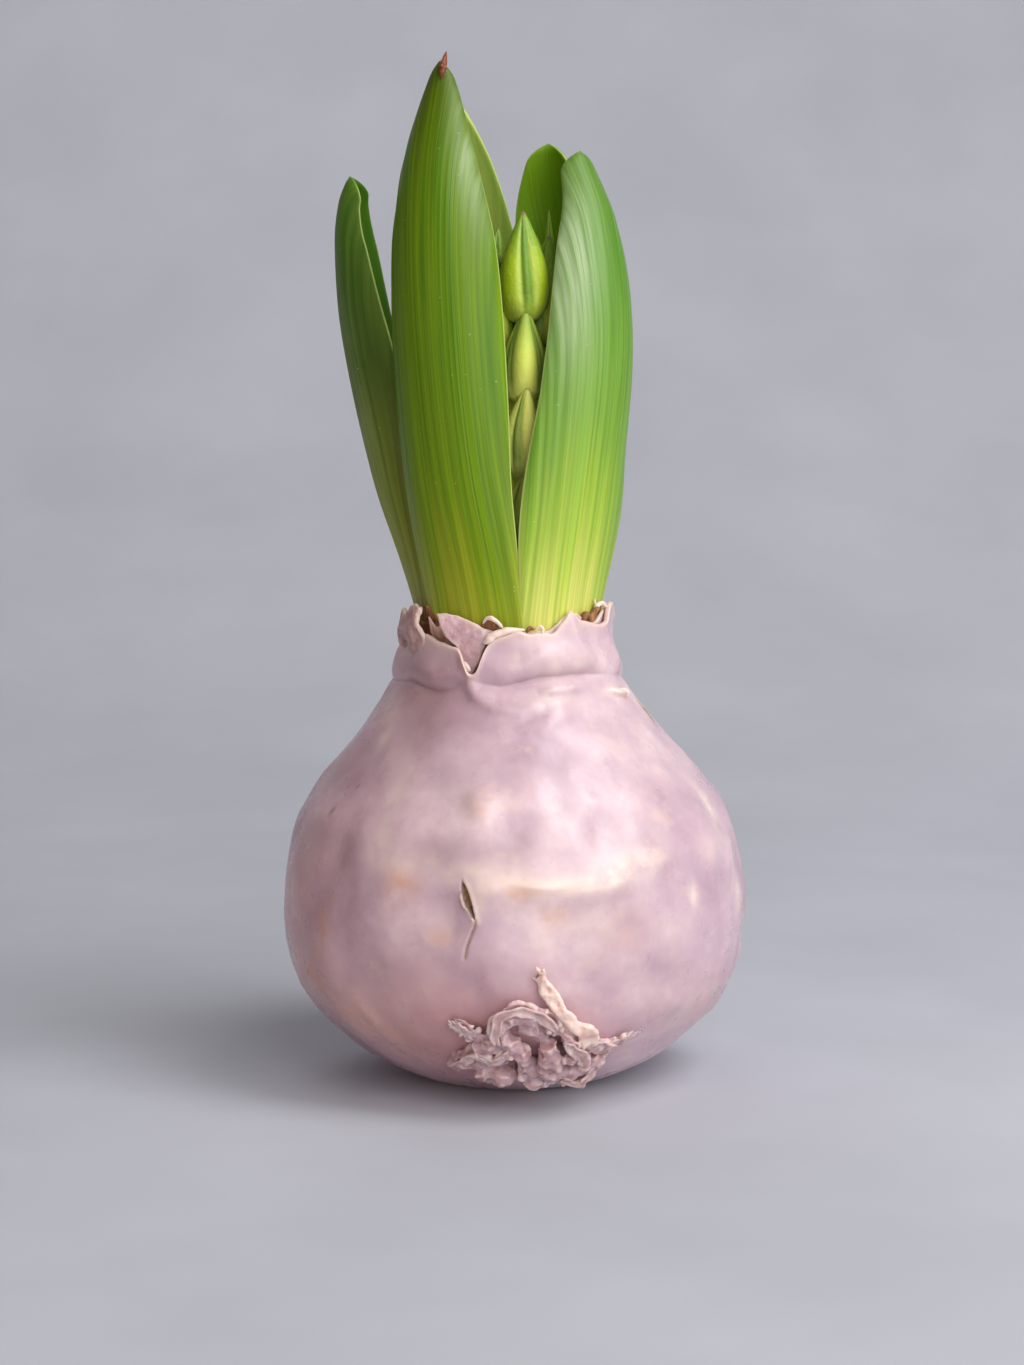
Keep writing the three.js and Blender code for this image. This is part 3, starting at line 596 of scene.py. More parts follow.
def wax_body(material):
    bearings = coat_bearings()
    shares = coat_shares()
    rim = rim_level(bearings)
    base = outline(shares)
    level = stretched(base[:, 1:], rim[None, :])
    neck_radius = outline(share_at(np.minimum(level, RIM_HEIGHT)))[..., 0]
    radius = np.where(level < STRETCH_FROM, base[:, :1], neck_radius)
    bearing = np.repeat(bearings[None, :], len(shares), axis=0)
    place = turned(radius, level, bearing)
    sunk, skin_shows, split_lip = split_marks(place)
    below_rim = np.maximum(rim[None, :] - level, 0)
    flare = lip_flare(bearing) * np.exp(-below_rim / FLARE_REACH)
    outer_radius = radius + relief(bearing, level, radius) - sunk + flare
    outer = turned(outer_radius, level, bearing)
    edge = np.exp(-below_rim / RIM_EDGE_REACH) * ease(level, 60, 63)

    lip_angle = np.linspace(0, math.pi, LIP_ROWS + 2)[1:-1][:, None]
    half = PLY_THICKNESS / 2
    lip_radius = outer_radius[-1] - half + half * np.cos(lip_angle)
    lip = turned(lip_radius, rim + half * np.sin(lip_angle) * LIP_FLATNESS, bearings[None, :])

    inner_shares = np.linspace(1, 0, INNER_ROWS)
    inset = outline_inset(inner_shares, wax_inset(inner_shares))
    inner_radius = np.repeat(inset[:, :1], len(bearings), axis=1)
    inner_radius[0] = outer_radius[-1] - PLY_THICKNESS
    inner_level = stretched(inset[:, 1:], rim[None, :])
    inner = turned(inner_radius, inner_level, bearings[None, :])

    rings = np.vstack([outer, lip, inner])
    points, faces = tube(rings, [[0, 0, 0]], [[0, 0, WAX_THICKNESS]])

    def mark(outside, lips, inside):
        rows = np.vstack([outside, np.full(lip.shape[:2], lips), np.full(inner.shape[:2], inside)])
        return np.r_[0, rows.ravel(), inside]

    torn = np.clip(spots(TEAR, bearing, level, radius) - 0.25, 0, 1)
    marks = {
        "skin": mark(np.maximum(skin_shows, torn), 0, 0),
        "edge": mark(np.maximum(edge, 1.3 * split_lip), 1, 0.4),
    }
    for name, table in (("pale", PALE_AND_HIGHLIGHTS), ("warm", WARM), ("stain_and_shade", STAINS_AND_SHADE), ("warm_shade", WARM_SHADE)):
        marks[name] = mark(np.clip(spots(table, bearing, level, radius), 0, 1), 0, 0)
    return make_piece("wax_body", points, faces, material, "wax", ["wax_coat"], marks)


# ---------------------------------------------------------------- the torn plies at the rim

# The torn plies of wax. Bottom and top run from left to right, and left and right hold what lies
# between their ends, from the bottom up: [bearing, height, how far out of the neck's outline].
PLIES = [
    {
        "name": "rim_flap_middle", "thickness": 0.75,
        "bottom": [[-24, 64.6, -1.2], [-21.6, 64.4, -1.3], [-19.4, 64.8, -1.4]],
        "top": [[-41.4, 73.6, 0.2], [-36.4, 73.6, -0.4], [-29.3, 73.2, -0.8], [-22.2, 72.6, -1.0],
                [-14.9, 71.7, -1.0], [-8, 71, -1.2]],
        "left": [[-25.5, 66.5, -1.0], [-28.5, 68.6, -0.5], [-33, 69.6, 0.1], [-36, 70.7, 0.4],
                 [-38.4, 72, 0.5]],
        "right": [[-16, 66.8, -1.2], [-13.4, 68.6, -1.1], [-11, 70, -1.1]],
    },
    {
        "name": "rim_flap_left", "thickness": 0.8, "crumpled": 2.6, "ragged": 0.8, "wax": "brown_wax",
        "bottom": [[-100, 66.5, -0.7], [-76, 66, -0.7], [-50, 67.2, -0.5]],
        "top": [[-95, 72.6, -0.2], [-88, 72.2, 0.2], [-82, 71.6, 0.5], [-74, 73, 0.4], [-66, 74.2, 0.2],
                [-60, 74.6, 0], [-57, 74.4, -0.2]],
        "left": [[-98, 69.5, -0.3]],
        "right": [[-50, 69.4, 0.2], [-51.6, 70.8, 0.6], [-54, 72.6, 0.5]],
    },
    {
        "name": "rim_ply_tan", "thickness": 0.5, "wax": "tan_wax",
        "bottom": [[-60, 66, -1.5], [-44, 66, -1.5], [-28, 66, -1.5]],
        "top": [[-53.6, 72.7, -1.2], [-46, 71.4, -1.3], [-38, 72.4, -1.3], [-30, 72, -1.5]],
        "left": [[-50, 69, -1.3], [-51, 71, -1.1]],
        "right": [[-29, 69, -1.5]],
    },
    {
        "name": "rim_ply_inner", "thickness": 0.6,
        "bottom": [[bearing, 64, -1.5] for bearing in (-6, 30, 60, 90, 120, 150, 180, 210, 240, 264)],
        "top": [[-6, 70.4, -1.4], [8, 71.0, -1.3], [25, 71.2, -1.3], [40, 73.5, -1.4],
                [60, 71.6, -1.3], [76, 74.2, -0.9], [95, 72.6, -1.2], [120, 72.4, -1.0],
                [150, 72, -1.3], [190, 72.8, -1.1],
                [210, 71.4, -1.3], [240, 72.4, -1.0], [264, 73.0, -1.2]],
        "left": [[-6, 67, -1.5]],
        "right": [[264, 68, -1.4]],
    },
]
# Papery skin that shows inside the rim, given the same way.
PAPERY = [
    {
        "name": "tunic_scroll", "thickness": 0.3,
        "bottom": [[-15.8, 70.6, -1.5], [-9, 70.8, -1.7], [-3, 70.4, -1.2]],
        "top": [[-15, 72.3, -1.3], [-12, 73.0, -0.9], [-7, 72.7, -0.7], [-2.5, 71.7, -0.6]],
    },
    {
        "name": "tunic_right", "thickness": 0.4,
        "bottom": [[46, 70.4, -1.8], [58, 70.6, -1.9], [72, 71, -1.8]],
        "top": [[47, 72.6, -2.0], [53, 73.4, -1.0], [58, 73.0, -2.1], [64, 74.2, -1.0],
                [70, 73.8, -2.0]],
    },
    {
        "name": "tunic_left", "thickness": 0.3,
        "bottom": [[-64, 70, -1.9], [-54, 70, -1.9], [-44, 70, -1.9]],
        "top": [[-64, 73.6, -1.7], [-58, 74.4, -1.5], [-52, 73.2, -1.9], [-46, 72.2, -1.9]],
    },
]
# Thin curls of torn wax and of skin: [bearing, height, out, radius] along each.
RIM_CURLS = [
    [[-13.2, 69.3, 0.1, 0.35], [-12.4, 69.5, 0.25, 0.72], [-9, 70.2, 0.1, 0.66],
     [-4.9, 70.9, -0.1, 0.56], [1.5, 71.3, -0.3, 0.42], [9.7, 71.4, -0.5, 0.2]],
    [[-14.5, 72.2, -1.0, 0.15], [-11.4, 73.1, -0.7, 0.36], [-7, 72.8, -0.5, 0.34],
     [-2.6, 71.7, -0.4, 0.22]],
    [[15.2, 71.1, -0.5, 0.14], [17.4, 71.9, -0.3, 0.24], [19.2, 71.4, -0.1, 0.24],
     [18.4, 70.7, 0.1, 0.14]],
    [[60, 73.0, -1.2, 0.2], [64, 74.3, -0.8, 0.36], [69, 74.4, -0.5, 0.36], [73, 73.4, -0.3, 0.2]],
    [[62.5, 74.2, -1.0, 0.22], [61.4, 75.2, -1.1, 0.12]],
    [[-23.4, 66.6, 0.1, 0.2], [-21, 65.8, 0.35, 0.36], [-19.3, 65.1, 0.4, 0.3]],
    [[57, 61.5, 0, 0.2], [62, 61.3, 0.2, 0.4], [68, 60.9, 0.35, 0.5], [72, 60.6, 0.35, 0.75],
     [75, 60.4, 0, 0.5]],
]
TUNIC_CURLS = [
    [[10.6, 70.9, -1.0, 0.2], [12.6, 71.6, -0.8, 0.34], [15.4, 71.4, -0.7, 0.2]],
    [[48.5, 71.4, -1.2, 0.3], [51, 73.0, -1.0, 0.55], [54, 72.6, -0.9, 0.5], [56.5, 71.0, -0.9, 0.3]],
    [[53, 71.2, -1.0, 0.3], [57, 72.4, -1.0, 0.5], [62, 73.7, -0.9, 0.45], [68, 74.0, -0.9, 0.3]],
]
# A roll of wax down the left side of the split: [bearing, height, lift, radius] along it.
SPLIT_CURLS = [
    [[-13.2, 35.4, -0.5, 0.12], [-13, 34.2, -0.2, 0.26], [-12.2, 32.9, -0.15, 0.28],
     [-11, 31.9, -0.2, 0.24], [-10.2, 31.2, -0.4, 0.12]],
]
CURL_SIDES = 16
CURL_RINGS = 40
CURL_EDGE = 0.7  # how pale a curl is, as a share of a torn edge
PLY_ROWS = 46
PLY_COLUMNS = 40
PLY_COLUMNS_A_DEGREE = 1.1


def fill_between(bottom, top, left, right, rows, columns):
    """A grid of [bearing, height, out] between four edges. Left and right are given without ends."""
    up = spread(rows)
    over = spread(columns)
    left = path_through([bottom[0], *left, top[0]])(up)[:, None]
    right = path_through([bottom[-1], *right, top[-1]])(up)[:, None]
    bottom = path_through(bottom)(over)[None]
    top = path_through(top)(over)[None]
    up = up[:, None, None]
    over = over[None, :, None]
    left_corners = (1 - up) * left[:1] + up * left[-1:]
    right_corners = (1 - up) * right[:1] + up * right[-1:]
    corners = (1 - over) * left_corners + over * right_corners
    return (1 - up) * bottom + up * top + (1 - over) * left + over * right - corners


def torn_ply(name, bottom, top, thickness, material, slot, seed,
             left=(), right=(), crumpled=1, ragged=0.15):
    """A thin torn sheet between four edges, ragged along its top."""
    columns = PLY_COLUMNS + int(abs(top[-1][0] - top[0][0]) * PLY_COLUMNS_A_DEGREE)
    grid = fill_between(bottom, top, left, right, PLY_ROWS, columns)
    rise = np.linspace(0, 1, len(grid))[:, None] ** 2
    grid[..., 1] += ragged * rise * grain(on_neck(grid[..., 0], 0 * grid[..., 1], 0), 0.9, seed + 20)
    middle = on_neck(*np.moveaxis(grid, -1, 0))
    for axis in range(3):
        rough = 0.16 * grain(middle, 1.7, seed + axis) + 0.07 * grain(middle, 0.7, seed + 5 + axis)
        middle[..., axis] += crumpled * rough
    half, edge = rounded(middle, thickness)
    points, faces, inside = sheet(middle, grid_normal(middle), half)
    make_piece(name, points, faces, material, slot, (), {"edge": both_faces(edge, inside)})


def curl(places, seed, place=on_neck):
    """A thin lumpy roll along places of [bearing, height, out, radius]."""
    places = np.array(places, float)
    path = path_through(place(*places.T[:3]))
    radius = smooth(np.c_[np.linspace(0, 1, len(places)), places[:, 3]])
    share = spread(CURL_RINGS)
    centre, way = rolled(path, share, 0.03, CURL_SIDES)
    ends = np.sqrt(1 - np.clip(np.abs(2 * share - 1) * 1.08 - 0.08, 0, 1) ** 6)
    size = (radius(share)[:, 0] * np.maximum(ends, 0.05))[:, None]
    size = size * (1 + 0.25 * grain(centre + way * size[..., None], 0.7, seed))
    return tube(centre + way * size[..., None], centre[0], centre[-1])


def curls(name, table, material, slot, seed, place=on_neck):
    """Several curls as one piece."""
    points, faces = join_parts([curl(places, seed + i, place) for i, places in enumerate(table)])
    make_piece(name, points, faces, material, slot, (), {"edge": np.full(len(points), CURL_EDGE)})


def torn_rim(paints):
    """The plies, the papery skin and the thin curls at the rim."""
    for i, ply in enumerate(PLIES):
        edges = {key: value for key, value in ply.items() if key != "wax"}
        torn_ply(**edges, material=paints[ply.get("wax", "torn_wax")], slot="torn_wax", seed=50 + 10 * i)
    for i, skin in enumerate(PAPERY):
        torn_ply(**skin, material=paints["tunic"], slot="tunic", seed=100 + 10 * i)
    curls("rim_curls", RIM_CURLS, paints["pale_wax"], "torn_wax", 140)
    curls("tunic_curls", TUNIC_CURLS, paints["tunic"], "tunic", 150)


# ---------------------------------------------------------------- the torn wax at the foot

# Lumpy rolls of torn wax: the radius and the share of it by which the middle stands out of the coat,
# then [bearing, height] along each.
FOLDS = [
    [1.2, 0.8, [-3.4, 12.8], [-3.9, 15], [-2.6, 16.4], [1.2, 17.1], [4.3, 16.8], [7.3, 15.9],
     [9.8, 14.4]],
    [1.3, 0.8, [-3.6, 14.2], [-1.8, 12.6], [0.6, 11.2], [1.6, 9.6]],
    [1.8, 1.0, [8, 13], [9.2, 11], [9.8, 9.4], [10.2, 7.4]],
    [1.3, 0.9, [1.6, 11.6], [3.4, 9.2], [6, 7.4], [10.6, 6.7]],
    [1.1, 1.2, [11.6, 14.4], [13.9, 12.8], [13.7, 10.4]],
    [1.3, 1.0, [13.2, 12], [16.6, 10.8], [20, 9.8]],
    [1.2, 0.8, [12, 7.8], [17, 7.2], [21, 7.6], [25, 9.2]],
    [0.9, 0.8, [18.6, 11.2], [22.4, 11.4], [26, 10.4]],
    [1.8, 0.1, [-19, 7.8], [-13, 9.4], [-7, 10], [-2, 10]],
    [2.4, 0.1, [-12, 7.2], [-6, 6.8], [0.6, 6.8]],
    [1.7, 0.1, [-11, 11], [-7, 12], [-2.6, 12.8]],
    [1.6, 0.1, [0.6, 14.6], [4.6, 14.4], [8.4, 13]],
    [1.2, 0.9, [13, 14.8], [16.4, 13.2], [19, 11.4]],
]
# Crumpled bands of torn wax: how far the edges curl out and how frayed the ends are, then
# [bearing, height, lift, width] along each.
FLAKES = [
    [0.5, 0.4, [-3.8, 13.4, 1.2, 2], [-4.8, 15.2, 1.4, 2.2], [-3.4, 17.2, 1.5, 2.2],
     [1.2, 18.2, 1.5, 2.2], [4.6, 17.7, 1.5, 2.2], [8, 16.6, 1.5, 2.2], [10, 15.2, 1.4, 1.8]],
    [0.6, 0.5, [9.8, 15, 1.8, 1.2], [12.6, 14.2, 2.4, 2.0], [14.2, 12.4, 2.6, 2.1],
     [13.2, 10.4, 2.4, 1.4]],
    [0.5, 0.4, [1.6, 10.6, 1.6, 1.4], [2.6, 8.4, 2.0, 1.8], [5.8, 6.6, 2.2, 2], [9.6, 5.9, 2.0, 2],
     [12.4, 6.8, 1.6, 1.4]],
    [0.5, 0.5, [13.6, 7.2, 1.7, 1.4], [17.6, 6.3, 1.9, 2.2], [21.4, 6.8, 1.8, 2.2], [24, 8.4, 1.4, 1.8],
     [26.4, 9.5, 0.9, 1]],
    [0.4, 0.8, [19.3, 11.6, 1.5, 1.2], [22.2, 12.2, 1.4, 1.9], [25.6, 11, 1.0, 1.4]],
    [0.2, 1.2, [24.4, 10.1, 0.5, 2], [27.2, 11.5, 0.6, 1.8], [29.9, 12.3, 0.7, 1.5],
     [33, 13.4, 0.9, 1.1]],
    [0.2, 1.0, [-15.4, 15.6, 0.6, 1.6], [-13, 14.6, 0.5, 2.8], [-10.6, 13.4, 0.5, 2.6],
     [-8, 12.4, 0.5, 1.8]],
    [0.5, 0.4, [-19.6, 7.6, 0.8, 1.2], [-14.2, 9.8, 1.3, 1.6], [-9.3, 10.9, 1.5, 1.6],
     [-5.2, 10.3, 1.7, 1.6], [-1.8, 11.4, 1.7, 1.4]],
]
# Thin torn edges that stand up over them, given the same way.
THIN_FLAKES = [
    [0.5, 0.5, [-4.4, 13.2, 2.2, 1], [-5, 15.2, 2.4, 1.5], [-3.4, 17.2, 2.4, 1.6],
     [0.4, 18.3, 2.3, 1.6], [4, 18, 2.3, 1.5], [7.4, 16.8, 2.4, 1.6], [9.6, 15.4, 2.2, 1]],
    [0.3, 0.4, [1.4, 9.8, 2.0, 0.8], [3.0, 8, 2.1, 1.1], [5.8, 6.9, 2.1, 1.2], [9, 6.6, 2.0, 0.9]],
    [0.5, 0.5, [12.2, 13.8, 3.0, 1], [15, 12.6, 3.2, 1.8], [17.6, 11, 3.0, 1.6], [18.4, 9.6, 2.6, 1]],
    [0.5, 0.5, [14, 7, 2.4, 1], [17.6, 6.2, 2.6, 1.8], [21.4, 6.8, 2.5, 1.9], [24.4, 8.6, 1.8, 1.2]],
    [0.4, 0.8, [20, 11.6, 2.0, 1], [22.6, 12.2, 1.8, 1.8], [26, 11.2, 1.3, 1.2]],
    [0.2, 1.0, [24.4, 10.4, 0.8, 1.2], [27.2, 11.5, 0.9, 1.5], [29.9, 12.3, 1.0, 1.2],
     [32.8, 13.3, 1.3, 0.8]],
    [0.4, 0.4, [-19.6, 7.6, 1.1, 1], [-14.2, 10, 1.7, 1.2], [-9.3, 11.1, 2.1, 1.4],
     [-5.2, 10.6, 2.3, 1.3], [-1.8, 11.6, 2.2, 1]],
    [0.3, 0.9, [-15.6, 15.4, 1.1, 1.4], [-13.4, 14.6, 1.0, 2.2], [-11, 13.6, 0.9, 1.6]],
]
# The pale strip that stands up beside them, given the same way.
STRIP = [
    [0.35, 1.1, [4.9, 23.6, 1.6, 1.5], [6.1, 21.9, 1.0, 1.6], [7.4, 20.4, 0.9, 1.8],
     [8.9, 18.8, 1.3, 2], [10.4, 17.7, 1.8, 2.1], [12.8, 16.8, 2.3, 2.5], [15.6, 15.3, 2.6, 3.0],
     [18, 13.4, 2.4, 2.6], [18.8, 12, 1.9, 1.6]],
]
FLAKE_THICKNESS = 0.85
THIN_FLAKE_THICKNESS = 0.4
THIN_FLAKE_EDGE = 0.45  # how pale a thin flake is, as a share of a torn edge
FLAKE_WAVES = [(1.6, 0.45), (0.8, 0.18)]  # how a flake is crumpled: (size, how far)
FLAKE_ROWS = 60
FLAKE_COLUMNS = 17
FOLD_SIDES = 20
FOLD_VOXEL = 0.2
FOLD_WAVES = [(2.6, 0.45), (1.3, 0.27), (0.5, 0.05)]  # creases pressed into the folds, likewise
STRIP_WAVES = [(1.6, 0.14), (0.7, 0.07)]
EDGE_OUT = (0.01, 0.034)  # a point that stands out this far from its neighbours is on a thin edge
CREVICE_IN = (0.009, 0.03)  # and one that lies in this far is in a crevice, where shade is painted
CONVEXITY_PASSES = 3


def fold(size, lift, places, seed):
    """A lumpy roll of torn wax along the surface."""
    places = np.array(places, float)
    path = path_through(on_coat(*places.T, lift * size))
    share = np.linspace(0, 1, 10 * len(places))
    centre, way = rolled(path, share, 0.05, FOLD_SIDES)
    swell = size * (0.5 + 0.5 * np.sin(math.pi * (0.15 + 0.7 * share)))
    knob = swell[:, None] * (1 + 0.3 * grain(centre + way * size, 1.8, seed))
    return tube(centre + way * knob[..., None], path(0), path(1))


def remesh(piece, voxel):
    """Melts a piece's overlapping parts into one skin."""
    modifier = piece.modifiers.new("melt", "REMESH")
    modifier.mode = "VOXEL"
    modifier.voxel_size = voxel * MM
    bpy.context.view_layer.objects.active = piece
    bpy.ops.object.modifier_apply(modifier=modifier.name)


def mesh_points(piece):
    """A piece's points and their normals, in millimetres on the bulb's axis."""
    count = len(piece.data.vertices)
    points = np.zeros(3 * count, np.float32)
    normals = np.zeros(3 * count, np.float32)
    piece.data.vertices.foreach_get("co", points)
    piece.data.vertex_normals.foreach_get("vector", normals)
    return points.reshape(-1, 3) / MM - AXIS, normals.reshape(-1, 3)


def move_points(piece, points):
    piece.data.vertices.foreach_set("co", ((points + AXIS) * MM).astype(np.float32).ravel())
    piece.data.update()


def crumple(piece, creases, seed):
    """Moves a piece's points along their normals into sharp creases of (size, how far)."""
    points, normals = mesh_points(piece)
    out = 0
    for k, (size, far) in enumerate(creases):
        out = out + far * (0.6 - 2 * np.abs(grain(points, size, seed + k)))
    move_points(piece, points + normals * out[:, None])


def flake(curl_out, frayed, places, seed, thickness):
    """A crumpled band of torn wax."""
    share = spread(FLAKE_ROWS)
    bearing, height, out, width = smooth(np.c_[np.linspace(0, 1, len(places)), places])(share).T
    centre = on_coat(bearing, height, out)
    tangent = unit(np.gradient(centre, axis=0))
    outward = square_to(unit(on_coat(bearing, height, out + 1) - centre), tangent)
    across = np.cross(tangent, outward)
    reach = np.linspace(-1, 1, FLAKE_COLUMNS)
    left, right = (1 + 0.5 * grain(share[:, None] * [9, 0, 0], 1, seed + k) for k in (1, 2))
    half = width[:, None] / 2 * np.where(reach < 0, left[:, None], right[:, None]) * np.abs(reach)
    ends = ease(np.abs(2 * share - 1), 0.75, 1) * np.sign(share - 0.5)
    fringe = frayed * grain(reach[:, None] * [3.1, 0, 0], 1, seed + 4)
    middle = centre[:, None] + across[:, None] * (half * np.sign(reach))[..., None]
    middle = middle + outward[:, None] * (curl_out * (reach**2 - 0.3))[None, :, None]
    middle = middle + tangent[:, None] * (ends[:, None] * fringe[None, :])[..., None]
    middle = middle + outward[:, None] * waves(middle, FLAKE_WAVES, seed + 5)[..., None]
    points, faces, _ = sheet(middle, grid_normal(middle), rounded(middle, thickness)[0])
    return points, faces


def convexity(piece):
    """How far each point of a piece stands out from its neighbours, smoothed, in millimetres."""
    points, normals = mesh_points(piece)
    edges = np.zeros(2 * len(piece.data.edges), np.int32)
    piece.data.edges.foreach_get("vertices", edges)
    first, second = edges.reshape(-1, 2).T
    count = np.bincount(edges, minlength=len(points))[:, None]

    def averaged(values):
        total = np.zeros_like(values)
        np.add.at(total, first, values[second])
        np.add.at(total, second, values[first])
        return total / np.maximum(count, 1)

    out = np.sum((points - averaged(points)) * normals, -1, keepdims=True)
    for _ in range(CONVEXITY_PASSES):
        out = (out + averaged(out)) / 2
    return out[:, 0]


def melted(name, parts, material, creases, seed):
    """One skin around overlapping parts, crumpled, and marked at its thin edges and in its crevices,
    where shade is painted.
    """
    piece = make_piece(name, *join_parts(parts), material, "torn_wax")
    remesh(piece, FOLD_VOXEL)
    crumple(piece, creases, seed)
    out = convexity(piece)
    add_marks(piece.data, {"edge": ease(out, *EDGE_OUT), "crevice_shade": ease(-out, *CREVICE_IN)})
    piece.data.shade_smooth()


def flakes(table, seed, thickness=FLAKE_THICKNESS):
    return [flake(row[0], row[1], row[2:], seed + 10 * i, thickness) for i, row in enumerate(table)]


def torn_foot(paints):
    """The folds of torn wax at the foot with their thin edges, and the pale strip."""
    rolls = [fold(row[0], row[1], row[2:], i + 1) for i, row in enumerate(FOLDS)]
    melted("wax_folds", [*rolls, *flakes(FLAKES, 200)], paints["fold_wax"], FOLD_WAVES, 11)
    points, faces = join_parts(flakes(THIN_FLAKES, 300, THIN_FLAKE_THICKNESS))
    marks = {"edge": np.full(len(points), THIN_FLAKE_EDGE)}
    make_piece("wax_edges", points, faces, paints["fold_wax"], "torn_wax", (), marks)
    melted("wax_strip", flakes(STRIP, 400), paints["pale_wax"], STRIP_WAVES, 12)


# ---------------------------------------------------------------- the leaves

ROUND_FROM = 0.975  # the share of a blade's length from which its end is rounded
BLADE_PARTS = 24  # the short stretches over which a blade's cross-section is summed


def blade_grid(spine, facing, width, taper, cup, keel, thickness, along, reach):
    """A channelled blade on a grid of shares along and across: its middle, its normals, its depth and
    how far each point lies from the midrib."""
    path = path_through(spine)
    centre = path(along)
    tangent = unit(path(np.minimum(along + 0.01, 1)) - path(np.maximum(along - 0.01, 0)))
    bearing = np.radians(smooth(facing)(along)[:, 0])
    facing_out = np.stack([np.sin(bearing), -np.cos(bearing), 0 * bearing], -1)
    outward = square_to(facing_out, tangent)
    across = np.cross(tangent, outward)
    round_end = np.sqrt(1 - np.clip((along - ROUND_FROM) / (1 - ROUND_FROM), 0, 1) ** 2)
    half = (width / 2 * smooth(taper)(along)[:, 0] * np.maximum(round_end, 0.03))[:, None]
    turn = np.radians(smooth(cup)(along)[:, 0])[:, None]
    fraction = (np.arange(BLADE_PARTS) + 0.5) / BLADE_PARTS
    angle = turn[..., None] * (fraction * np.abs(reach)[None, :, None]) ** keel
    sideways = np.cos(angle).mean(-1) * half * reach
    inwards = np.sin(angle).mean(-1) * half * np.abs(reach)
    face = centre[:, None] + across[:, None] * sideways[..., None]
    face = face - outward[:, None] * inwards[..., None]
    lean = np.sign(reach) * turn * np.abs(reach) ** keel
    normal = outward[:, None] * np.cos(lean)[..., None] + across[:, None] * np.sin(lean)[..., None]
    depth = thickness * (1 - 0.3 * along[:, None]) * (1 - 0.55 * reach**2)
    depth = np.minimum(depth, 0.7 * half / np.maximum(turn, 0.2))
    return face - normal * depth[..., None] / 2, normal, depth, sideways


LEAF_FOOT = THROAT_FLOOR + GAP
NECK_TOP = 72
IN_NECK = 0.14


def throat_radius(height):
    return THROAT_RADIUS + THROAT_FLARE * (height - THROAT_FLOOR)


# The width along the last part of a leaf: [share of the length, share of the full width].
POINTED = [[0.82, 0.77], [0.89, 0.58], [0.94, 0.41], [0.975, 0.26], [1, 0.14]]
BLUNT = [[0.82, 0.8], [0.89, 0.66], [0.94, 0.52], [0.975, 0.4], [1, 0.3]]
HOODED = [[0.82, 0.82], [0.89, 0.68], [0.94, 0.55], [0.975, 0.47], [1, 0.36]]
# root holds the bearing and the half angle of the leaf in the neck, spine the places of its midrib
# above it, facing the bearings it faces as [share of the length, bearing], and cup the angles to which
# its halves curl inwards half way up and at the tip. A keel below 1 folds a leaf at its midrib.
LEAVES = [
    {
        "name": "leaf_front_left", "width": 25, "root": [-23.8, 33.8], "keel": 1, "tip": POINTED,
        "spine": [[-11.2, -12.6, 96], [-13.5, -11.2, 120], [-13.6, -8.6, 140], [-11.4, -4.8, 156.5]],
        "facing": [[0.5, -29], [1, -26]], "cup": [62, 80],
    },
    {
        "name": "leaf_front_right", "width": 22.5, "root": [51.2, 42], "keel": 1,
        "tip": [[0.82, 0.76], [0.89, 0.59], [0.94, 0.46], [0.975, 0.385], [1, 0.32]],
        "spine": [[12.9, -9.4, 93], [15, -7.6, 115], [13.2, -5.8, 133], [9.9, -2.6, 143.2]],
        "facing": [[0.35, 45], [0.5, 45], [1, 36]], "cup": [60, 76],
        "waist": [[0.22, 1.03], [0.3, 1.11], [0.38, 1.13], [0.46, 1.1], [0.55, 1.04], [0.6, 1.02],
                  [0.72, 0.92]],
    },
    {
        "name": "leaf_left", "width": 20, "root": [-91, 29], "keel": 0.4, "tip": HOODED,
        "spine": [[-22.1, 3.4, 93], [-26.9, 5, 115], [-27.9, 4.8, 129], [-27.2, 3.8, 135.6],
                  [-25.6, 2.6, 139.6]],
        "facing": [[0.5, -89], [1, -103]], "cup": [76, 74],
    },
    {
        "name": "leaf_back_left", "width": 22.5, "root": [-160.5, 30.6], "keel": 0.9, "tip": POINTED,
        "spine": [[-7.5, 14.6, 100], [-8, 13.8, 127], [-8.6, 10.8, 141], [-10, 7.4, 151.8]],
        "facing": [[0.5, -169], [1, -178]], "cup": [54, 70],
    },
    {
        "name": "leaf_back_right", "width": 22, "root": [129, 32], "keel": 0.9, "tip": BLUNT,
        "spine": [[12, 12.2, 97], [10.4, 13.8, 119], [6.6, 12.4, 135], [5.2, 9.6, 144.8]],
        "facing": [[0.5, 148], [1, 165]], "cup": [50, 66],
    },
]
# Where a pale painted sheen lies on a leaf: [share along, share across, half length, half width,
# amount].
PAINTED_SHEEN = {
    "leaf_front_left": [[0.84, 0.75, 0.09, 0.25, 0.6], [0.3, -0.85, 0.2, 0.2, 0.25]],
    "leaf_front_right": [[0.83, -0.75, 0.1, 0.5, 1.0], [0.7, -0.65, 0.12, 0.35, 0.6]],
    "leaf_left": [[0.5, 0.05, 0.4, 0.3, 0.3]],
}
# How a leaf widens from the neck up: [share of the length, share of the way to its full width].
WIDENING = [[0.3, 0.42], [0.45, 0.84], [0.6, 1]]
NARROWING = [0.72, 0.95]  # and where it narrows again: [share of the length, share of the width]
FOOT_SHARE = 0.93  # a leaf's width at its foot, as a share of that in the neck
LEAF_ROWS = 170
LEAF_COLUMNS = 61
MARGIN = 0.12  # the share of a leaf's half width over which its edge is rounded
FLUTE_PITCH = 1.7
FLUTE_DEPTH = 0.045


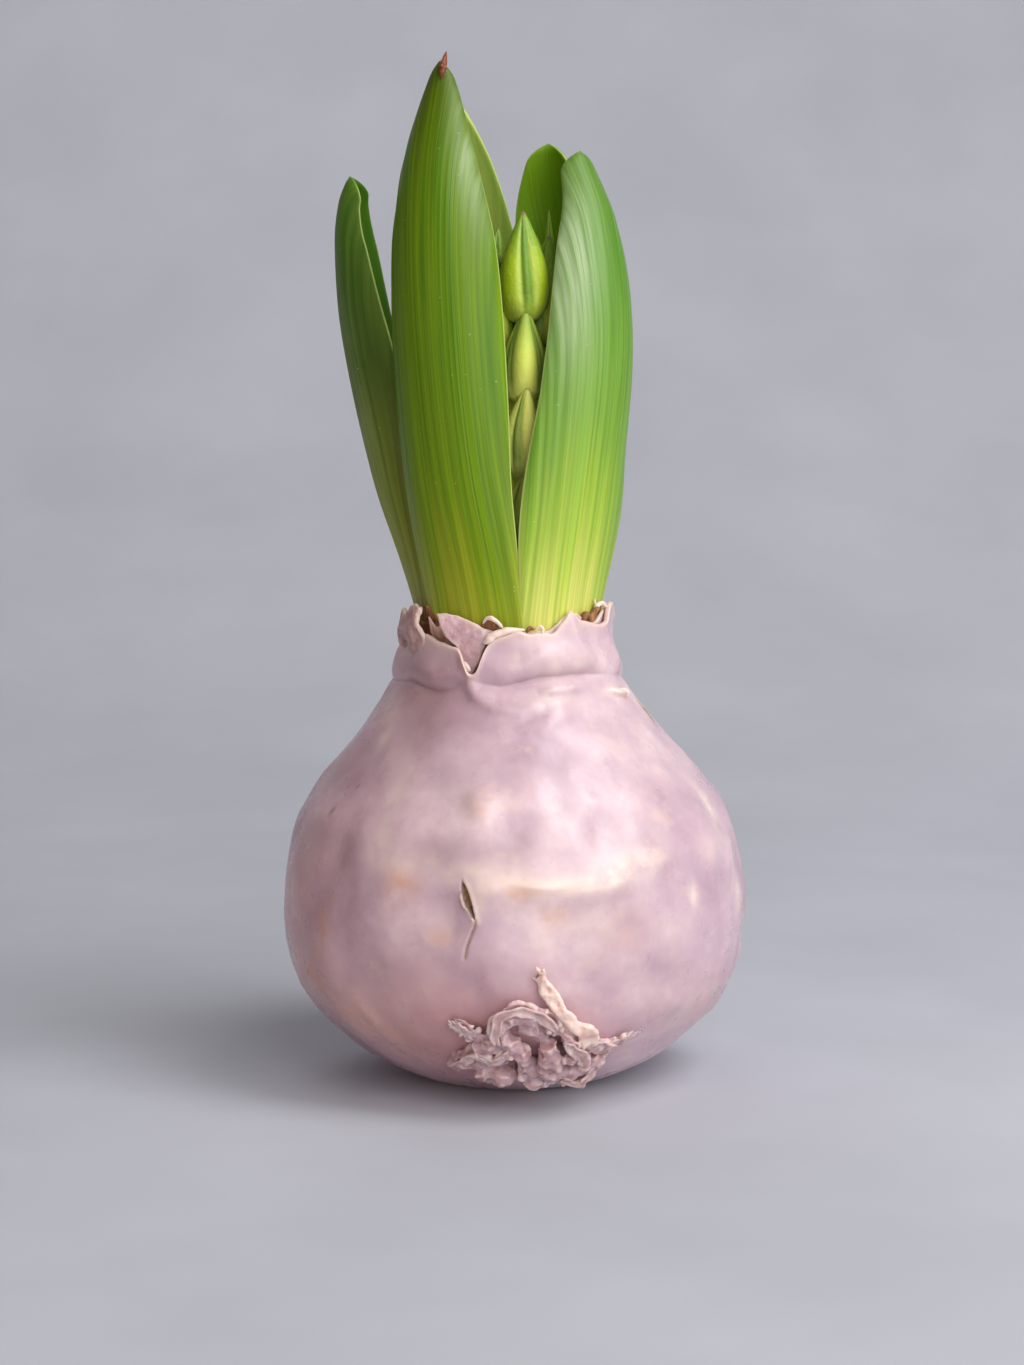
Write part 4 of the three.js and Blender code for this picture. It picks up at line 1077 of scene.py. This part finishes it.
def leaf(name, root, spine, facing, cup, width, keel, tip, material, waist=None):
    bearing, span = root
    neck_share = 2 * (throat_radius(NECK_TOP) - LEAF_CLEARANCE) * math.radians(span) / width
    if not waist:
        waist = [[place, neck_share + (1 - neck_share) * share] for place, share in WIDENING]
        waist.append(NARROWING)
    taper = [[0, neck_share * FOOT_SHARE], [IN_NECK, neck_share], *waist, *tip]
    in_throat = []
    for height in (LEAF_FOOT, NECK_TOP):
        in_throat.append(turned(throat_radius(height) - LEAF_CLEARANCE, height, bearing))
    turns = [[0, bearing], [IN_NECK, bearing], *facing]
    cups = [[0, span], [IN_NECK, span], [0.5, cup[0]], [1, cup[1]]]
    along = 1 - (1 - np.linspace(0, 1, LEAF_ROWS)) ** 1.35
    reach = np.sin(np.linspace(-1, 1, LEAF_COLUMNS) * math.pi / 2)
    middle, normal, depth, sideways = blade_grid(
        [*in_throat, *spine], turns, width, taper, cups, keel, LEAF_THICKNESS, along, reach)
    edge = np.clip((np.abs(reach) - (1 - MARGIN)) / MARGIN, 0, 1)[None, :]
    end = np.clip((along - 0.985) / 0.015, 0, 1)[:, None]
    half = depth / 2 * np.sqrt(1 - edge**2) * np.sqrt(1 - end**2)
    half[0] = 0
    wander = 2 * grain(middle * [1, 1, 0.04], 3, 7)
    flute = FLUTE_DEPTH * np.sin(2 * math.pi * sideways / FLUTE_PITCH + wander)
    middle = middle + normal * (flute * (1 - edge) * ease(1 - along, 0.02, 0.2)[:, None])[..., None]
    points, faces, inside = sheet(middle, normal, half)
    shape = half.shape
    marks = {
        "along": both_faces(np.broadcast_to(along[:, None], shape), inside),
        "across": both_faces(np.broadcast_to(reach[None, :], shape), inside),
        "sideways": both_faces(sideways, inside),
        "inner": np.r_[np.zeros(half.size), np.ones(inside.sum())],
    }
    painted_sheen = np.zeros(shape)
    for up, side, height, breadth, amount in PAINTED_SHEEN.get(name, []):
        painted_sheen += amount * bell(along[:, None] - up, height) * bell(reach[None, :] - side, breadth)
    marks["painted_sheen"] = both_faces(np.clip(painted_sheen, 0, 1), inside)
    return make_piece(name + "_blade", points, faces, material, "leaf", [name], marks)


# The dried hook at the tallest leaf's tip: [x, y, z, radius] along it.
DRY_TIP = [
    [-11.1, -6.0, 153.6, 0.1], [-10.95, -6.1, 154.8, 0.5], [-10.8, -5.8, 155.8, 0.56],
    [-10.6, -5.3, 156.8, 0.42], [-10.35, -4.9, 157.9, 0.16],
]


def dry_tip(material):
    points, faces = curl(DRY_TIP, 160, lambda x, y, z: np.stack([x, y, z], -1))
    return make_piece("leaf_tip_dry", points, faces, material, "dry_tip")


# ---------------------------------------------------------------- the bulb inside

TUNIC_TOP = 70.4
TUNIC_SPIKES = 9
SPIKE_HEIGHT = 1.1
TUNIC_STRETCH_FROM = 60


def tunic_edge(bearing):
    """The height of the bulb's ragged skin at its neck."""
    base = TUNIC_TOP + SPIKE_HEIGHT * np.abs(np.sin(np.radians(TUNIC_SPIKES * bearing) / 2))
    return base + 0.8 * np.sin(np.radians(3 * bearing + 200))


def bulb_skin(material):
    bearings = np.arange(0, 360, 1.5)
    shares = np.r_[np.linspace(0, 0.8, 24), np.linspace(0.81, 1, 30)]
    place = outline_inset(shares, wax_inset(shares) + GAP)
    rim = tunic_edge(bearings) + 0.4 * grain(turned(15, 0, bearings), 1.2, 31)
    level = stretched(place[:, 1:], rim[None, :], TUNIC_STRETCH_FROM)
    outer = turned(place[:, :1], level, bearings[None, :])
    lip = turned(throat_radius(RIM_HEIGHT), rim, bearings)[None]
    depth = np.linspace(0, 1, 12)[1:, None]
    inner_level = rim + (THROAT_FLOOR - rim) * depth
    inner_radius = throat_radius(RIM_HEIGHT) + (THROAT_RADIUS - throat_radius(RIM_HEIGHT)) * depth
    inner = turned(inner_radius, inner_level, bearings[None, :])
    foot = outline_inset(0.0, wax_inset(0.0) + GAP)[1]
    points, faces = tube(np.vstack([outer, lip, inner]), [[0, 0, foot]], [[NECK_SHIFT, 0, THROAT_FLOOR]])
    return make_piece("bulb_skin", points, faces, material, "tunic", ["bulb"])


# ---------------------------------------------------------------- the flower head

# A bud's radius along it: [share of the length, share of the full radius].
BUD_RINGS = [
    [0, 0.12], [0.03, 0.5], [0.16, 0.9], [0.36, 1], [0.56, 0.86], [0.74, 0.58], [0.9, 0.28], [1, 0.06],
]
BUD_SIDES = 96
BUD_ROWS = 40
GROOVE = 0.24  # the depth of the grooves, as a share of a bud's radius
# The heights of the buds' tips, their size, and how far tips and feet stand out from the stem's axis.
WHORLS = [
    {"top": 134, "length": 17, "radius": 4.1, "tipOut": 4.8, "footOut": 4.4},
    {"top": 119.6, "length": 14.5, "radius": 3.6, "tipOut": 7, "footOut": 4.4},
    {"top": 107.7, "length": 14, "radius": 3.6, "tipOut": 8, "footOut": 5.4},
    {"top": 94.8, "length": 13.5, "radius": 3.2, "tipOut": 6.8, "footOut": 3.4},
]
BUDS_IN_WHORL = 5
BUD_SPINS = [70, 2, 30, 10]  # how far each whorl's buds are turned about themselves
# Buds outside the whorls: foot, tip and radius.
EXTRA_BUDS = [
    [[0.2, 2, 116], [0.2, 2.6, 131.5], 3.0],  # the one at the very top, behind
    [[-3.8, -0.8, 119], [-2.6, -0.2, 131.6], 2.4],  # the dull one beside the top front bud
    [[5.4, 2.4, 119], [5.2, 2.6, 134.4], 1.1],  # a thin bract
]
FRONT_BUD = 10  # the bearing of the foremost bud of each whorl
HEAD_AXIS = [0.4, 0.6]
SCAPE_TOP = 126
OUTER_TEPAL = 47  # degrees from an outer tepal's middle to its edge
TWIST = -22  # how far the tepals turn round the bud from foot to tip


def bud(foot, tip, radius, spin):
    """A closed bud of three broad outer tepals and three narrow inner ones between them. Gives its
    points and faces, and its marks: the share of the length, and how near a groove or a rim is."""
    foot, tip = np.array(foot, float), np.array(tip, float)
    length = np.linalg.norm(tip - foot)
    turn = np.array(Vector((0, 0, 1)).rotation_difference(Vector(tip - foot)).to_matrix())
    share = np.linspace(0.004, 0.996, BUD_ROWS)[:, None]
    angle = np.linspace(0, 360, BUD_SIDES, endpoint=False)[None, :]
    off_middle = np.abs((angle + 60) % 120 - 60)
    tepal = np.where(off_middle > OUTER_TEPAL, 60 - OUTER_TEPAL, OUTER_TEPAL)
    off_edge = (off_middle - OUTER_TEPAL) / tepal
    swell = np.sin(math.pi / 2 * np.abs(off_edge)) ** 0.7
    swell = np.where(off_edge > 0, 0.4 * swell, swell)
    strength = ease(share, 0, 0.3) * (1 - 0.6 * ease(share, 0.8, 1))
    size = radius * smooth(BUD_RINGS)(share[:, 0])[:, :1] * (1 - GROOVE * strength * (1 - swell))
    turning = np.radians(angle + TWIST * share) + spin
    local = np.stack([size * np.cos(turning), size * np.sin(turning), share * length + 0 * size], -1)
    ends = np.array([[0, 0, 0], [0, 0, length]]) @ turn.T + foot
    points, faces = tube(local @ turn.T + foot, ends[:1], ends[1:])
    groove = strength * ease(off_middle, OUTER_TEPAL - 6, OUTER_TEPAL + 2)
    rim = strength * np.exp(-(((off_middle - OUTER_TEPAL + 9) / 5) ** 2))
    return points, faces, {
        "share": np.r_[0, np.broadcast_to(share, size.shape).ravel(), 1],
        "groove": np.r_[0, groove.ravel(), 0],
        "rim": np.r_[0, rim.ravel(), 0],
    }


def out_from_head(bearing, reach, height):
    angle = math.radians(bearing)
    return [HEAD_AXIS[0] + reach * math.sin(angle), HEAD_AXIS[1] - reach * math.cos(angle), height]


def scape():
    """The flower stem."""
    angle = np.linspace(0, 2 * math.pi, 48, endpoint=False)[None, :]
    height = np.linspace(LEAF_FOOT, SCAPE_TOP, 60)[:, None]
    narrowing = 1 - 0.3 * np.clip((height - 90) / (SCAPE_TOP - 90), 0, 1)
    radius = SCAPE_RADIUS * narrowing * (1 + 0.03 * np.cos(5 * angle))
    x = HEAD_AXIS[0] + radius * np.cos(angle)
    y = HEAD_AXIS[1] + radius * np.sin(angle)
    points = np.stack([x, y, height + 0 * x], -1)
    return tube(points, [[*HEAD_AXIS, LEAF_FOOT]], [[*HEAD_AXIS, SCAPE_TOP]])


def flower_head(material):
    stem_points, stem_faces = scape()
    bare = np.zeros(len(stem_points))
    parts = [(stem_points, stem_faces, {"share": bare + 0.1, "groove": bare, "rim": bare})]
    for level, whorl in enumerate(WHORLS):
        for k in range(BUDS_IN_WHORL):
            seed = 10 * level + k
            loose = 0 if k == 0 else 1
            bearing = FRONT_BUD + 360 * k / BUDS_IN_WHORL + loose * 14 * (chance(seed) - 0.5)
            top = whorl["top"] - loose * (3 + 2.4 * chance(seed + 50))
            parts.append(bud(out_from_head(bearing, whorl["footOut"], top - whorl["length"]),
                             out_from_head(bearing, whorl["tipOut"], top), whorl["radius"],
                             math.radians(bearing - 90 + BUD_SPINS[level])))
    for foot, tip, radius in EXTRA_BUDS:
        parts.append(bud(foot, tip, radius, 0))
    points, faces = join_parts([part[:2] for part in parts])
    marks = {name: np.concatenate([part[2][name] for part in parts]) for name in parts[0][2]}
    return make_piece("flower_buds", points, faces, material, "buds", ["flower_head"], marks)


# ---------------------------------------------------------------- materials

def tone(*screen):
    """A screen colour, 0 to 255, as Blender's own."""
    shares = [channel / 255 for channel in screen]
    return (*[c / 12.92 if c <= 0.04045 else ((c + 0.055) / 1.055) ** 2.4 for c in shares], 1)


class Paint:
    """A material and short ways to add nodes to it. Sizes are in millimetres, colours as on screen."""

    def __init__(self, name):
        self.material = bpy.data.materials.new(name)
        self.material.use_nodes = True
        self.tree = self.material.node_tree
        self.shader = self.tree.nodes["Principled BSDF"]
        self.place = self.node("ShaderNodeTexCoord").outputs["Object"]

    def node(self, kind, inputs=None, **settings):
        node = self.tree.nodes.new(kind)
        for key, value in settings.items():
            setattr(node, key, value)
        for key, value in (inputs or {}).items():
            self.put(node.inputs[key], value)
        return node

    def put(self, socket, value):
        if isinstance(value, bpy.types.NodeSocket):
            self.tree.links.new(value, socket)
        else:
            socket.default_value = value

    def noise(self, size, detail=3, vector=None, roughness=0.55):
        """Noise whose features are about this size."""
        inputs = {"Scale": 1 / (size * MM), "Detail": detail, "Roughness": roughness}
        inputs["Vector"] = vector or self.place
        return self.node("ShaderNodeTexNoise", inputs).outputs["Fac"]

    def mark(self, name):
        return self.node("ShaderNodeAttribute", attribute_name=name).outputs["Fac"]

    def curve(self, value, low, high, start=0.0, end=1.0):
        """start below low, end above high, and smooth in between."""
        inputs = {"Value": value, "From Min": low, "From Max": high, "To Min": start, "To Max": end}
        return self.node("ShaderNodeMapRange", inputs, interpolation_type="SMOOTHSTEP").outputs["Result"]

    def maths(self, operation, *values):
        node = self.node("ShaderNodeMath", operation=operation)
        for socket, value in zip(node.inputs, values):
            self.put(socket, value)
        return node.outputs[0]

    def times(self, value, *others):
        for other in others:
            value = self.maths("MULTIPLY", value, other)
        return value

    def weighed(self, *terms):
        """The sum of (value, weight)."""
        total = None
        for value, weight in terms:
            part = self.times(value, weight)
            total = part if total is None else self.maths("ADD", total, part)
        return total

    def mix(self, share, first, second, blend_type="MIX"):
        node = self.node("ShaderNodeMix", data_type="RGBA", blend_type=blend_type)
        for socket, value in zip((0, 6, 7), (share, first, second)):
            self.put(node.inputs[socket], value)
        return node.outputs[2]

    def over(self, colour, share, *screen):
        """A colour with another one laid over it by a share."""
        return self.mix(share, colour, tone(*screen))

    def marked(self, colour, mark, share, *screen):
        """A colour with another one laid over it where a mark is."""
        return self.over(colour, self.times(self.mark(mark), share), *screen)

    def ramp(self, value, stops):
        """A colour ramp through [place, red, green, blue]."""
        node = self.node("ShaderNodeValToRGB", {"Fac": value})
        elements = node.color_ramp.elements
        while len(elements) < len(stops):
            elements.new(1)
        for element, (place, *screen) in zip(elements, stops):
            element.position = place
            element.color = tone(*screen)
        return node.outputs["Color"]

    def vector(self, *parts):
        node = self.node("ShaderNodeCombineXYZ")
        for socket, value in zip(node.inputs, parts):
            self.put(socket, value)
        return node.outputs[0]

    def height(self):
        return self.node("ShaderNodeSeparateXYZ", {"Vector": self.place}).outputs["Z"]

    def bump(self, height, distance):
        """Relief of the given size."""
        inputs = {"Height": height, "Distance": distance * MM, "Strength": 1.0}
        return self.node("ShaderNodeBump", inputs).outputs["Normal"]

    def finish(self, colour, roughness, normal=None, **sockets):
        sockets.update(Base_Color=colour, Roughness=roughness)
        if normal:
            sockets["Normal"] = normal
        for name, value in sockets.items():
            self.put(self.shader.inputs[name.replace("_", " ")], value)
        return self.material


WAX_GLOW = (1.0, 0.5, 0.4)  # how far red, green and blue light spread under the wax, as shares


def wax_paint():
    """Satin wax, mottled, pale and warm where its marks say, with painted highlights, painted warm shade
    and stains that are partly painted shade.
    """
    paint = Paint("wax")
    cloud = paint.weighed((paint.noise(22, 2), 0.6), (paint.noise(7, 4), 0.4))
    colour = paint.ramp(cloud, [
        [0.36, 180, 150, 164], [0.47, 200, 172, 184], [0.56, 213, 186, 194], [0.66, 232, 208, 211],
    ])
    ragged = paint.curve(paint.noise(2.6, 4, roughness=0.6), 0.3, 0.7, 0.5, 1.5)
    # Pale spots, some of them painted highlights.
    colour = paint.over(colour, paint.times(paint.mark("pale"), ragged, 0.7), 244, 224, 212)
    patches = paint.curve(paint.noise(5, 3, roughness=0.6), 0.58, 0.74, 0, 0.36)
    colour = paint.over(colour, patches, 234, 204, 188)
    colour = paint.over(colour, paint.times(paint.mark("warm"), ragged, 0.5), 214, 158, 106)
    # Painted warm shade.
    colour = paint.marked(colour, "warm_shade", 0.65, 192, 136, 132)
    # Stains, partly painted shade.
    colour = paint.marked(colour, "stain_and_shade", 0.75, 128, 98, 100)
    colour = paint.over(colour, paint.curve(paint.noise(1.3, 3), 0.35, 0.7, 0, 0.1), 180, 146, 160)
    colour = paint.marked(colour, "edge", 0.6, 240, 210, 192)
    skin = paint.ramp(paint.noise(0.8, 3), [[0.35, 122, 94, 50], [0.6, 182, 148, 90]])
    colour = paint.mix(paint.mark("skin"), colour, skin)
    normal = paint.bump(paint.weighed((paint.noise(3.4, 1), 0.93), (paint.noise(1.2, 1), 0.07)), 0.16)
    roughness = paint.curve(paint.noise(4, 3), 0.3, 0.7, 0.25, 0.39)
    return paint.finish(colour, roughness, normal, IOR=1.45, Coat_Weight=0.16, Coat_Roughness=0.16,
                        Subsurface_Weight=0.3, Subsurface_Radius=WAX_GLOW, Subsurface_Scale=0.0025)


# The colours of the torn wax, from dark to pale.
TORN_WAXES = {
    "torn_wax": [[186, 148, 152], [206, 170, 176], [228, 200, 204]],
    "fold_wax": [[172, 134, 138], [196, 162, 168], [216, 190, 197]],
    "brown_wax": [[156, 120, 116], [184, 148, 146], [208, 176, 174]],
    "tan_wax": [[150, 108, 88], [178, 138, 118], [206, 172, 156]],
    "pale_wax": [[234, 196, 182], [242, 212, 200], [249, 228, 216]],
    "grey_wax": [[150, 128, 110], [170, 148, 130], [188, 168, 150]],
}


def torn_wax_paint(name, tones):
    """Wax that has been torn, pale along its edges, with painted shade in its crevices."""
    paint = Paint(name)
    stops = [[place, *screen] for place, screen in zip((0.32, 0.5, 0.68), tones)]
    colour = paint.ramp(paint.noise(1.8, 4), stops)
    colour = paint.marked(colour, "edge", 0.65, 242, 216, 204)
    # Painted shade in the crevices.
    colour = paint.marked(colour, "crevice_shade", 0.7, 122, 88, 88)
    normal = paint.bump(paint.noise(0.9, 2), 0.12)
    return paint.finish(colour, paint.curve(paint.noise(2, 2), 0.3, 0.7, 0.34, 0.5), normal, IOR=1.44,
                        Subsurface_Weight=0.35, Subsurface_Radius=WAX_GLOW, Subsurface_Scale=0.002)


def tunic_paint():
    """Dry brown skin, with fibres that run up and down."""
    paint = Paint("tunic")
    sides = paint.node("ShaderNodeSeparateXYZ", {"Vector": paint.place}).outputs
    fibre = paint.noise(0.7, 4, paint.vector(sides["X"], sides["Y"], paint.times(paint.height(), 0.2)))
    colour = paint.ramp(fibre, [[0.3, 92, 56, 32], [0.5, 140, 92, 54], [0.7, 190, 146, 98]])
    return paint.finish(colour, paint.curve(fibre, 0.3, 0.7, 0.5, 0.8), paint.bump(fibre, 0.25))


# The green of each leaf as [share of the length, red, green, blue], and that of its inner face.
GREENS = {
    "leaf_front_left": [[0, 174, 174, 58], [0.14, 148, 156, 28], [0.3, 108, 136, 0], [0.5, 94, 128, 0],
                        [0.75, 98, 130, 2], [1, 78, 98, 6]],
    "leaf_front_right": [[0, 222, 214, 130], [0.14, 206, 206, 104], [0.3, 158, 182, 64],
                         [0.48, 116, 154, 54], [0.75, 100, 142, 50], [1, 94, 130, 50]],
    "leaf_left": [[0, 158, 154, 62], [0.3, 130, 138, 46], [0.6, 66, 90, 2], [1, 84, 122, 36]],
    "leaf_back_left": [[0, 130, 144, 44], [0.5, 158, 186, 66], [1, 152, 182, 60]],
    "leaf_back_right": [[0, 120, 130, 40], [0.5, 112, 146, 16], [1, 94, 132, 12]],
}
INNER_GREENS = {
    "leaf_front_left": [90, 124, 10],
    "leaf_front_right": [110, 146, 30],
    "leaf_left": [66, 112, 8],
    # The back left leaf's inner face is painted pale, as painted light shining through it.
    "leaf_back_left": [196, 218, 112],
    "leaf_back_right": [102, 140, 6],
}


LEAF_GLOW = (0.4, 1.0, 0.15)


def leaf_paint(name):
    """Green that changes up the leaf, with fine veins and broader streaks along it."""
    paint = Paint(name)
    along = paint.mark("along")
    sideways = paint.times(paint.mark("sideways"), MM)

    def drawn_out(up):
        """A place that changes across the leaf, and up it only slowly."""
        return paint.vector(sideways, 0.0, paint.times(along, up))

    strand = drawn_out(0.003)
    line = drawn_out(0.0006)
    fine = paint.noise(0.42, 2, line, roughness=0.5)
    band = paint.noise(1.5, 2, strand)
    tongue = [(paint.maths("SUBTRACT", noise, 0.5), 0.4) for noise in (band, paint.noise(4, 1, strand))]
    colour = paint.ramp(paint.maths("ADD", along, paint.weighed(*tongue)), GREENS[name])
    light = paint.times(paint.curve(fine, 0.45, 0.7, 1, 1.2), paint.curve(band, 0.45, 0.7, 1, 1.12))
    colour = paint.node("ShaderNodeHueSaturation", {"Color": colour, "Value": light}).outputs["Color"]
    dark_bands = paint.curve(band, 0.3, 0.52, 0.9, 0)
    shade = paint.maths("MAXIMUM", paint.curve(fine, 0.3, 0.5, 0.75, 0), dark_bands)
    shade = paint.times(shade, paint.curve(along, 0.1, 0.34, 0.5, 1))
    colour = paint.mix(shade, colour, paint.mix(1.0, colour, tone(200, 228, 170), "MULTIPLY"))
    specks = {"Vector": drawn_out(0.1), "Scale": 1 / (2.2 * MM)}
    speck = paint.node("ShaderNodeTexVoronoi", specks).outputs["Distance"]
    colour = paint.over(colour, paint.curve(speck, 0.03, 0.07, 0.45, 0), 190, 206, 130)
    uneven = paint.curve(paint.noise(0.6, 3, strand), 0.3, 0.7, 0.3, 0.9)
    # A pale painted sheen, streaked along the leaf.
    colour = paint.over(colour, paint.times(paint.mark("painted_sheen"), uneven), 184, 204, 160)
    margin = paint.curve(paint.maths("ABSOLUTE", paint.mark("across")), 0.965, 0.99, 0, 0.75)
    colour = paint.over(colour, margin, 190, 204, 120)
    colour = paint.marked(colour, "inner", 0.8, *INNER_GREENS[name])
    normal = paint.bump(paint.weighed((paint.noise(0.25, 2, line), 0.4), (fine, 0.6)), 0.14)
    roughness = paint.curve(fine, 0.3, 0.7, 0.36, 0.5)
    return paint.finish(colour, roughness, normal, IOR=1.38, Specular_IOR_Level=0.4,
                        Subsurface_Weight=0.12, Subsurface_Radius=LEAF_GLOW, Subsurface_Scale=0.0015)


def dry_paint():
    paint = Paint("dry_tip")
    fibre = paint.noise(0.5, 3)
    colour = paint.ramp(fibre, [[0.35, 96, 44, 22], [0.55, 136, 74, 44], [0.72, 188, 130, 84]])
    return paint.finish(colour, paint.curve(fibre, 0.3, 0.7, 0.5, 0.75), paint.bump(fibre, 0.15))


BUD_GLOW = (0.6, 1.0, 0.3)


def bud_paint():
    """Green that changes along a bud, painted paler and yellower on the lower buds as painted light,
    darker in the grooves, partly as painted shade, brown at the tip."""
    paint = Paint("buds")
    share = paint.mark("share")
    mottle = paint.noise(1.2, 3)
    uneven = paint.maths("ADD", share, paint.times(paint.maths("SUBTRACT", mottle, 0.5), 0.3))
    colour = paint.ramp(uneven, [
        [0, 120, 146, 24], [0.25, 152, 176, 18], [0.55, 158, 183, 30], [0.85, 124, 160, 44],
        [1, 124, 154, 48],
    ])
    # Painted light: the lower buds are made paler and yellower against the leaves' shade.
    colour = paint.over(colour, paint.curve(paint.height(), 0.102, 0.124, 1, 0), 246, 252, 124)
    # Darker green in the grooves, partly painted shade.
    colour = paint.marked(colour, "groove", 0.7, 78, 128, 40)
    colour = paint.marked(colour, "rim", 0.45, 204, 218, 110)
    colour = paint.over(colour, paint.curve(share, 0.95, 0.99, 0, 0.9), 132, 100, 82)
    roughness = paint.curve(mottle, 0.3, 0.7, 0.36, 0.5)
    return paint.finish(colour, roughness, paint.bump(paint.noise(0.6, 2), 0.1), IOR=1.42,
                        Subsurface_Weight=0.2, Subsurface_Radius=BUD_GLOW, Subsurface_Scale=0.002)


# ---------------------------------------------------------------- the camera, the lights and the stage

CAMERA_TARGET = np.array([-0.47, 0, 61.5]) + AXIS
CAMERA_DISTANCE = 502
CAMERA_ELEVATION = 7


def make_camera():
    camera = bpy.data.objects.new("camera", bpy.data.cameras.new("camera"))
    camera.data.lens = 85
    camera.data.sensor_width = 36
    camera.data.clip_end = 10
    tilt = math.radians(CAMERA_ELEVATION)
    back = Vector((0, -math.cos(tilt), math.sin(tilt)))
    camera.location = Vector(CAMERA_TARGET * MM) + back * CAMERA_DISTANCE * MM
    camera.rotation_euler = (math.radians(90) - tilt, 0, 0)
    bpy.context.scene.collection.objects.link(camera)
    bpy.context.scene.camera = camera


def area_light(name, place, target, size, power, colour):
    lamp = bpy.data.lights.new(name, "AREA")
    lamp.shape = "RECTANGLE"
    lamp.size, lamp.size_y = size
    lamp.energy = power
    lamp.color = colour
    holder = bpy.data.objects.new(name, lamp)
    holder.location = place
    holder.rotation_euler = (Vector(target) - Vector(place)).to_track_quat("-Z", "Y").to_euler()
    bpy.context.scene.collection.objects.link(holder)


def make_lights():
    centre = (0, 0, 0.07)
    area_light("key", (0.53, -0.66, 0.5), centre, (1.1, 0.9), 9.3, (1, 0.99, 0.98))
    area_light("top", (0.34, -0.16, 0.62), centre, (0.3, 0.3), 2.0, (1, 0.99, 0.99))
    area_light("front", (0.06, -0.9, 0.24), centre, (0.3, 0.5), 0.6, (1, 0.98, 0.96))
    area_light("fill", (-0.6, -0.6, 0.1), centre, (0.6, 0.4), 1.0, (1, 0.64, 0.46))
    area_light("back", (-0.2, 0.6, 0.7), centre, (0.6, 0.4), 1.6, (1, 1, 1))
    world = bpy.data.worlds.new("room")
    world.use_nodes = True
    world.node_tree.nodes["Background"].inputs["Color"].default_value = (0.93, 0.88, 0.89, 1)
    world.node_tree.nodes["Background"].inputs["Strength"].default_value = 0.14
    bpy.context.scene.world = world


def make_stage():
    """A pale floor that curves up into a backdrop."""
    half_width, front, back, bend, top = 2.0, -1.2, 0.7, 0.5, 2.2
    profile = [(front, 0.0)]
    for step in range(17):
        angle = math.pi / 2 * step / 16
        profile.append((back - bend + bend * math.sin(angle), bend - bend * math.cos(angle)))
    profile.append((back, top))
    points = [(side * half_width, y, z) for y, z in profile for side in (-1, 1)]
    faces = [(2 * k, 2 * k + 1, 2 * k + 3, 2 * k + 2) for k in range(len(profile) - 1)]
    mesh = bpy.data.meshes.new("backdrop")
    mesh.from_pydata(points, [], faces)
    mesh.shade_smooth()
    paint = Paint("backdrop")
    colour = paint.ramp(paint.noise(60, 3), [[0.3, 180, 182, 191], [0.7, 188, 190, 199]])
    mesh.materials.append(paint.finish(colour, 0.9))
    backdrop = bpy.data.objects.new("backdrop", mesh)
    bpy.context.scene.collection.objects.link(backdrop)


bpy.context.scene.view_settings.view_transform = "Standard"
make_camera()
make_lights()
make_stage()

paints = {name: torn_wax_paint(name, tones) for name, tones in TORN_WAXES.items()}
paints["tunic"] = tunic_paint()
wax_body(wax_paint())
torn_rim(paints)
torn_foot(paints)
curls("split_lip", SPLIT_CURLS, paints["grey_wax"], "torn_wax", 440, on_coat)
bulb_skin(paints["tunic"])
for shape in LEAVES:
    leaf(material=leaf_paint(shape["name"]), **shape)
flower_head(bud_paint())
dry_tip(dry_paint())
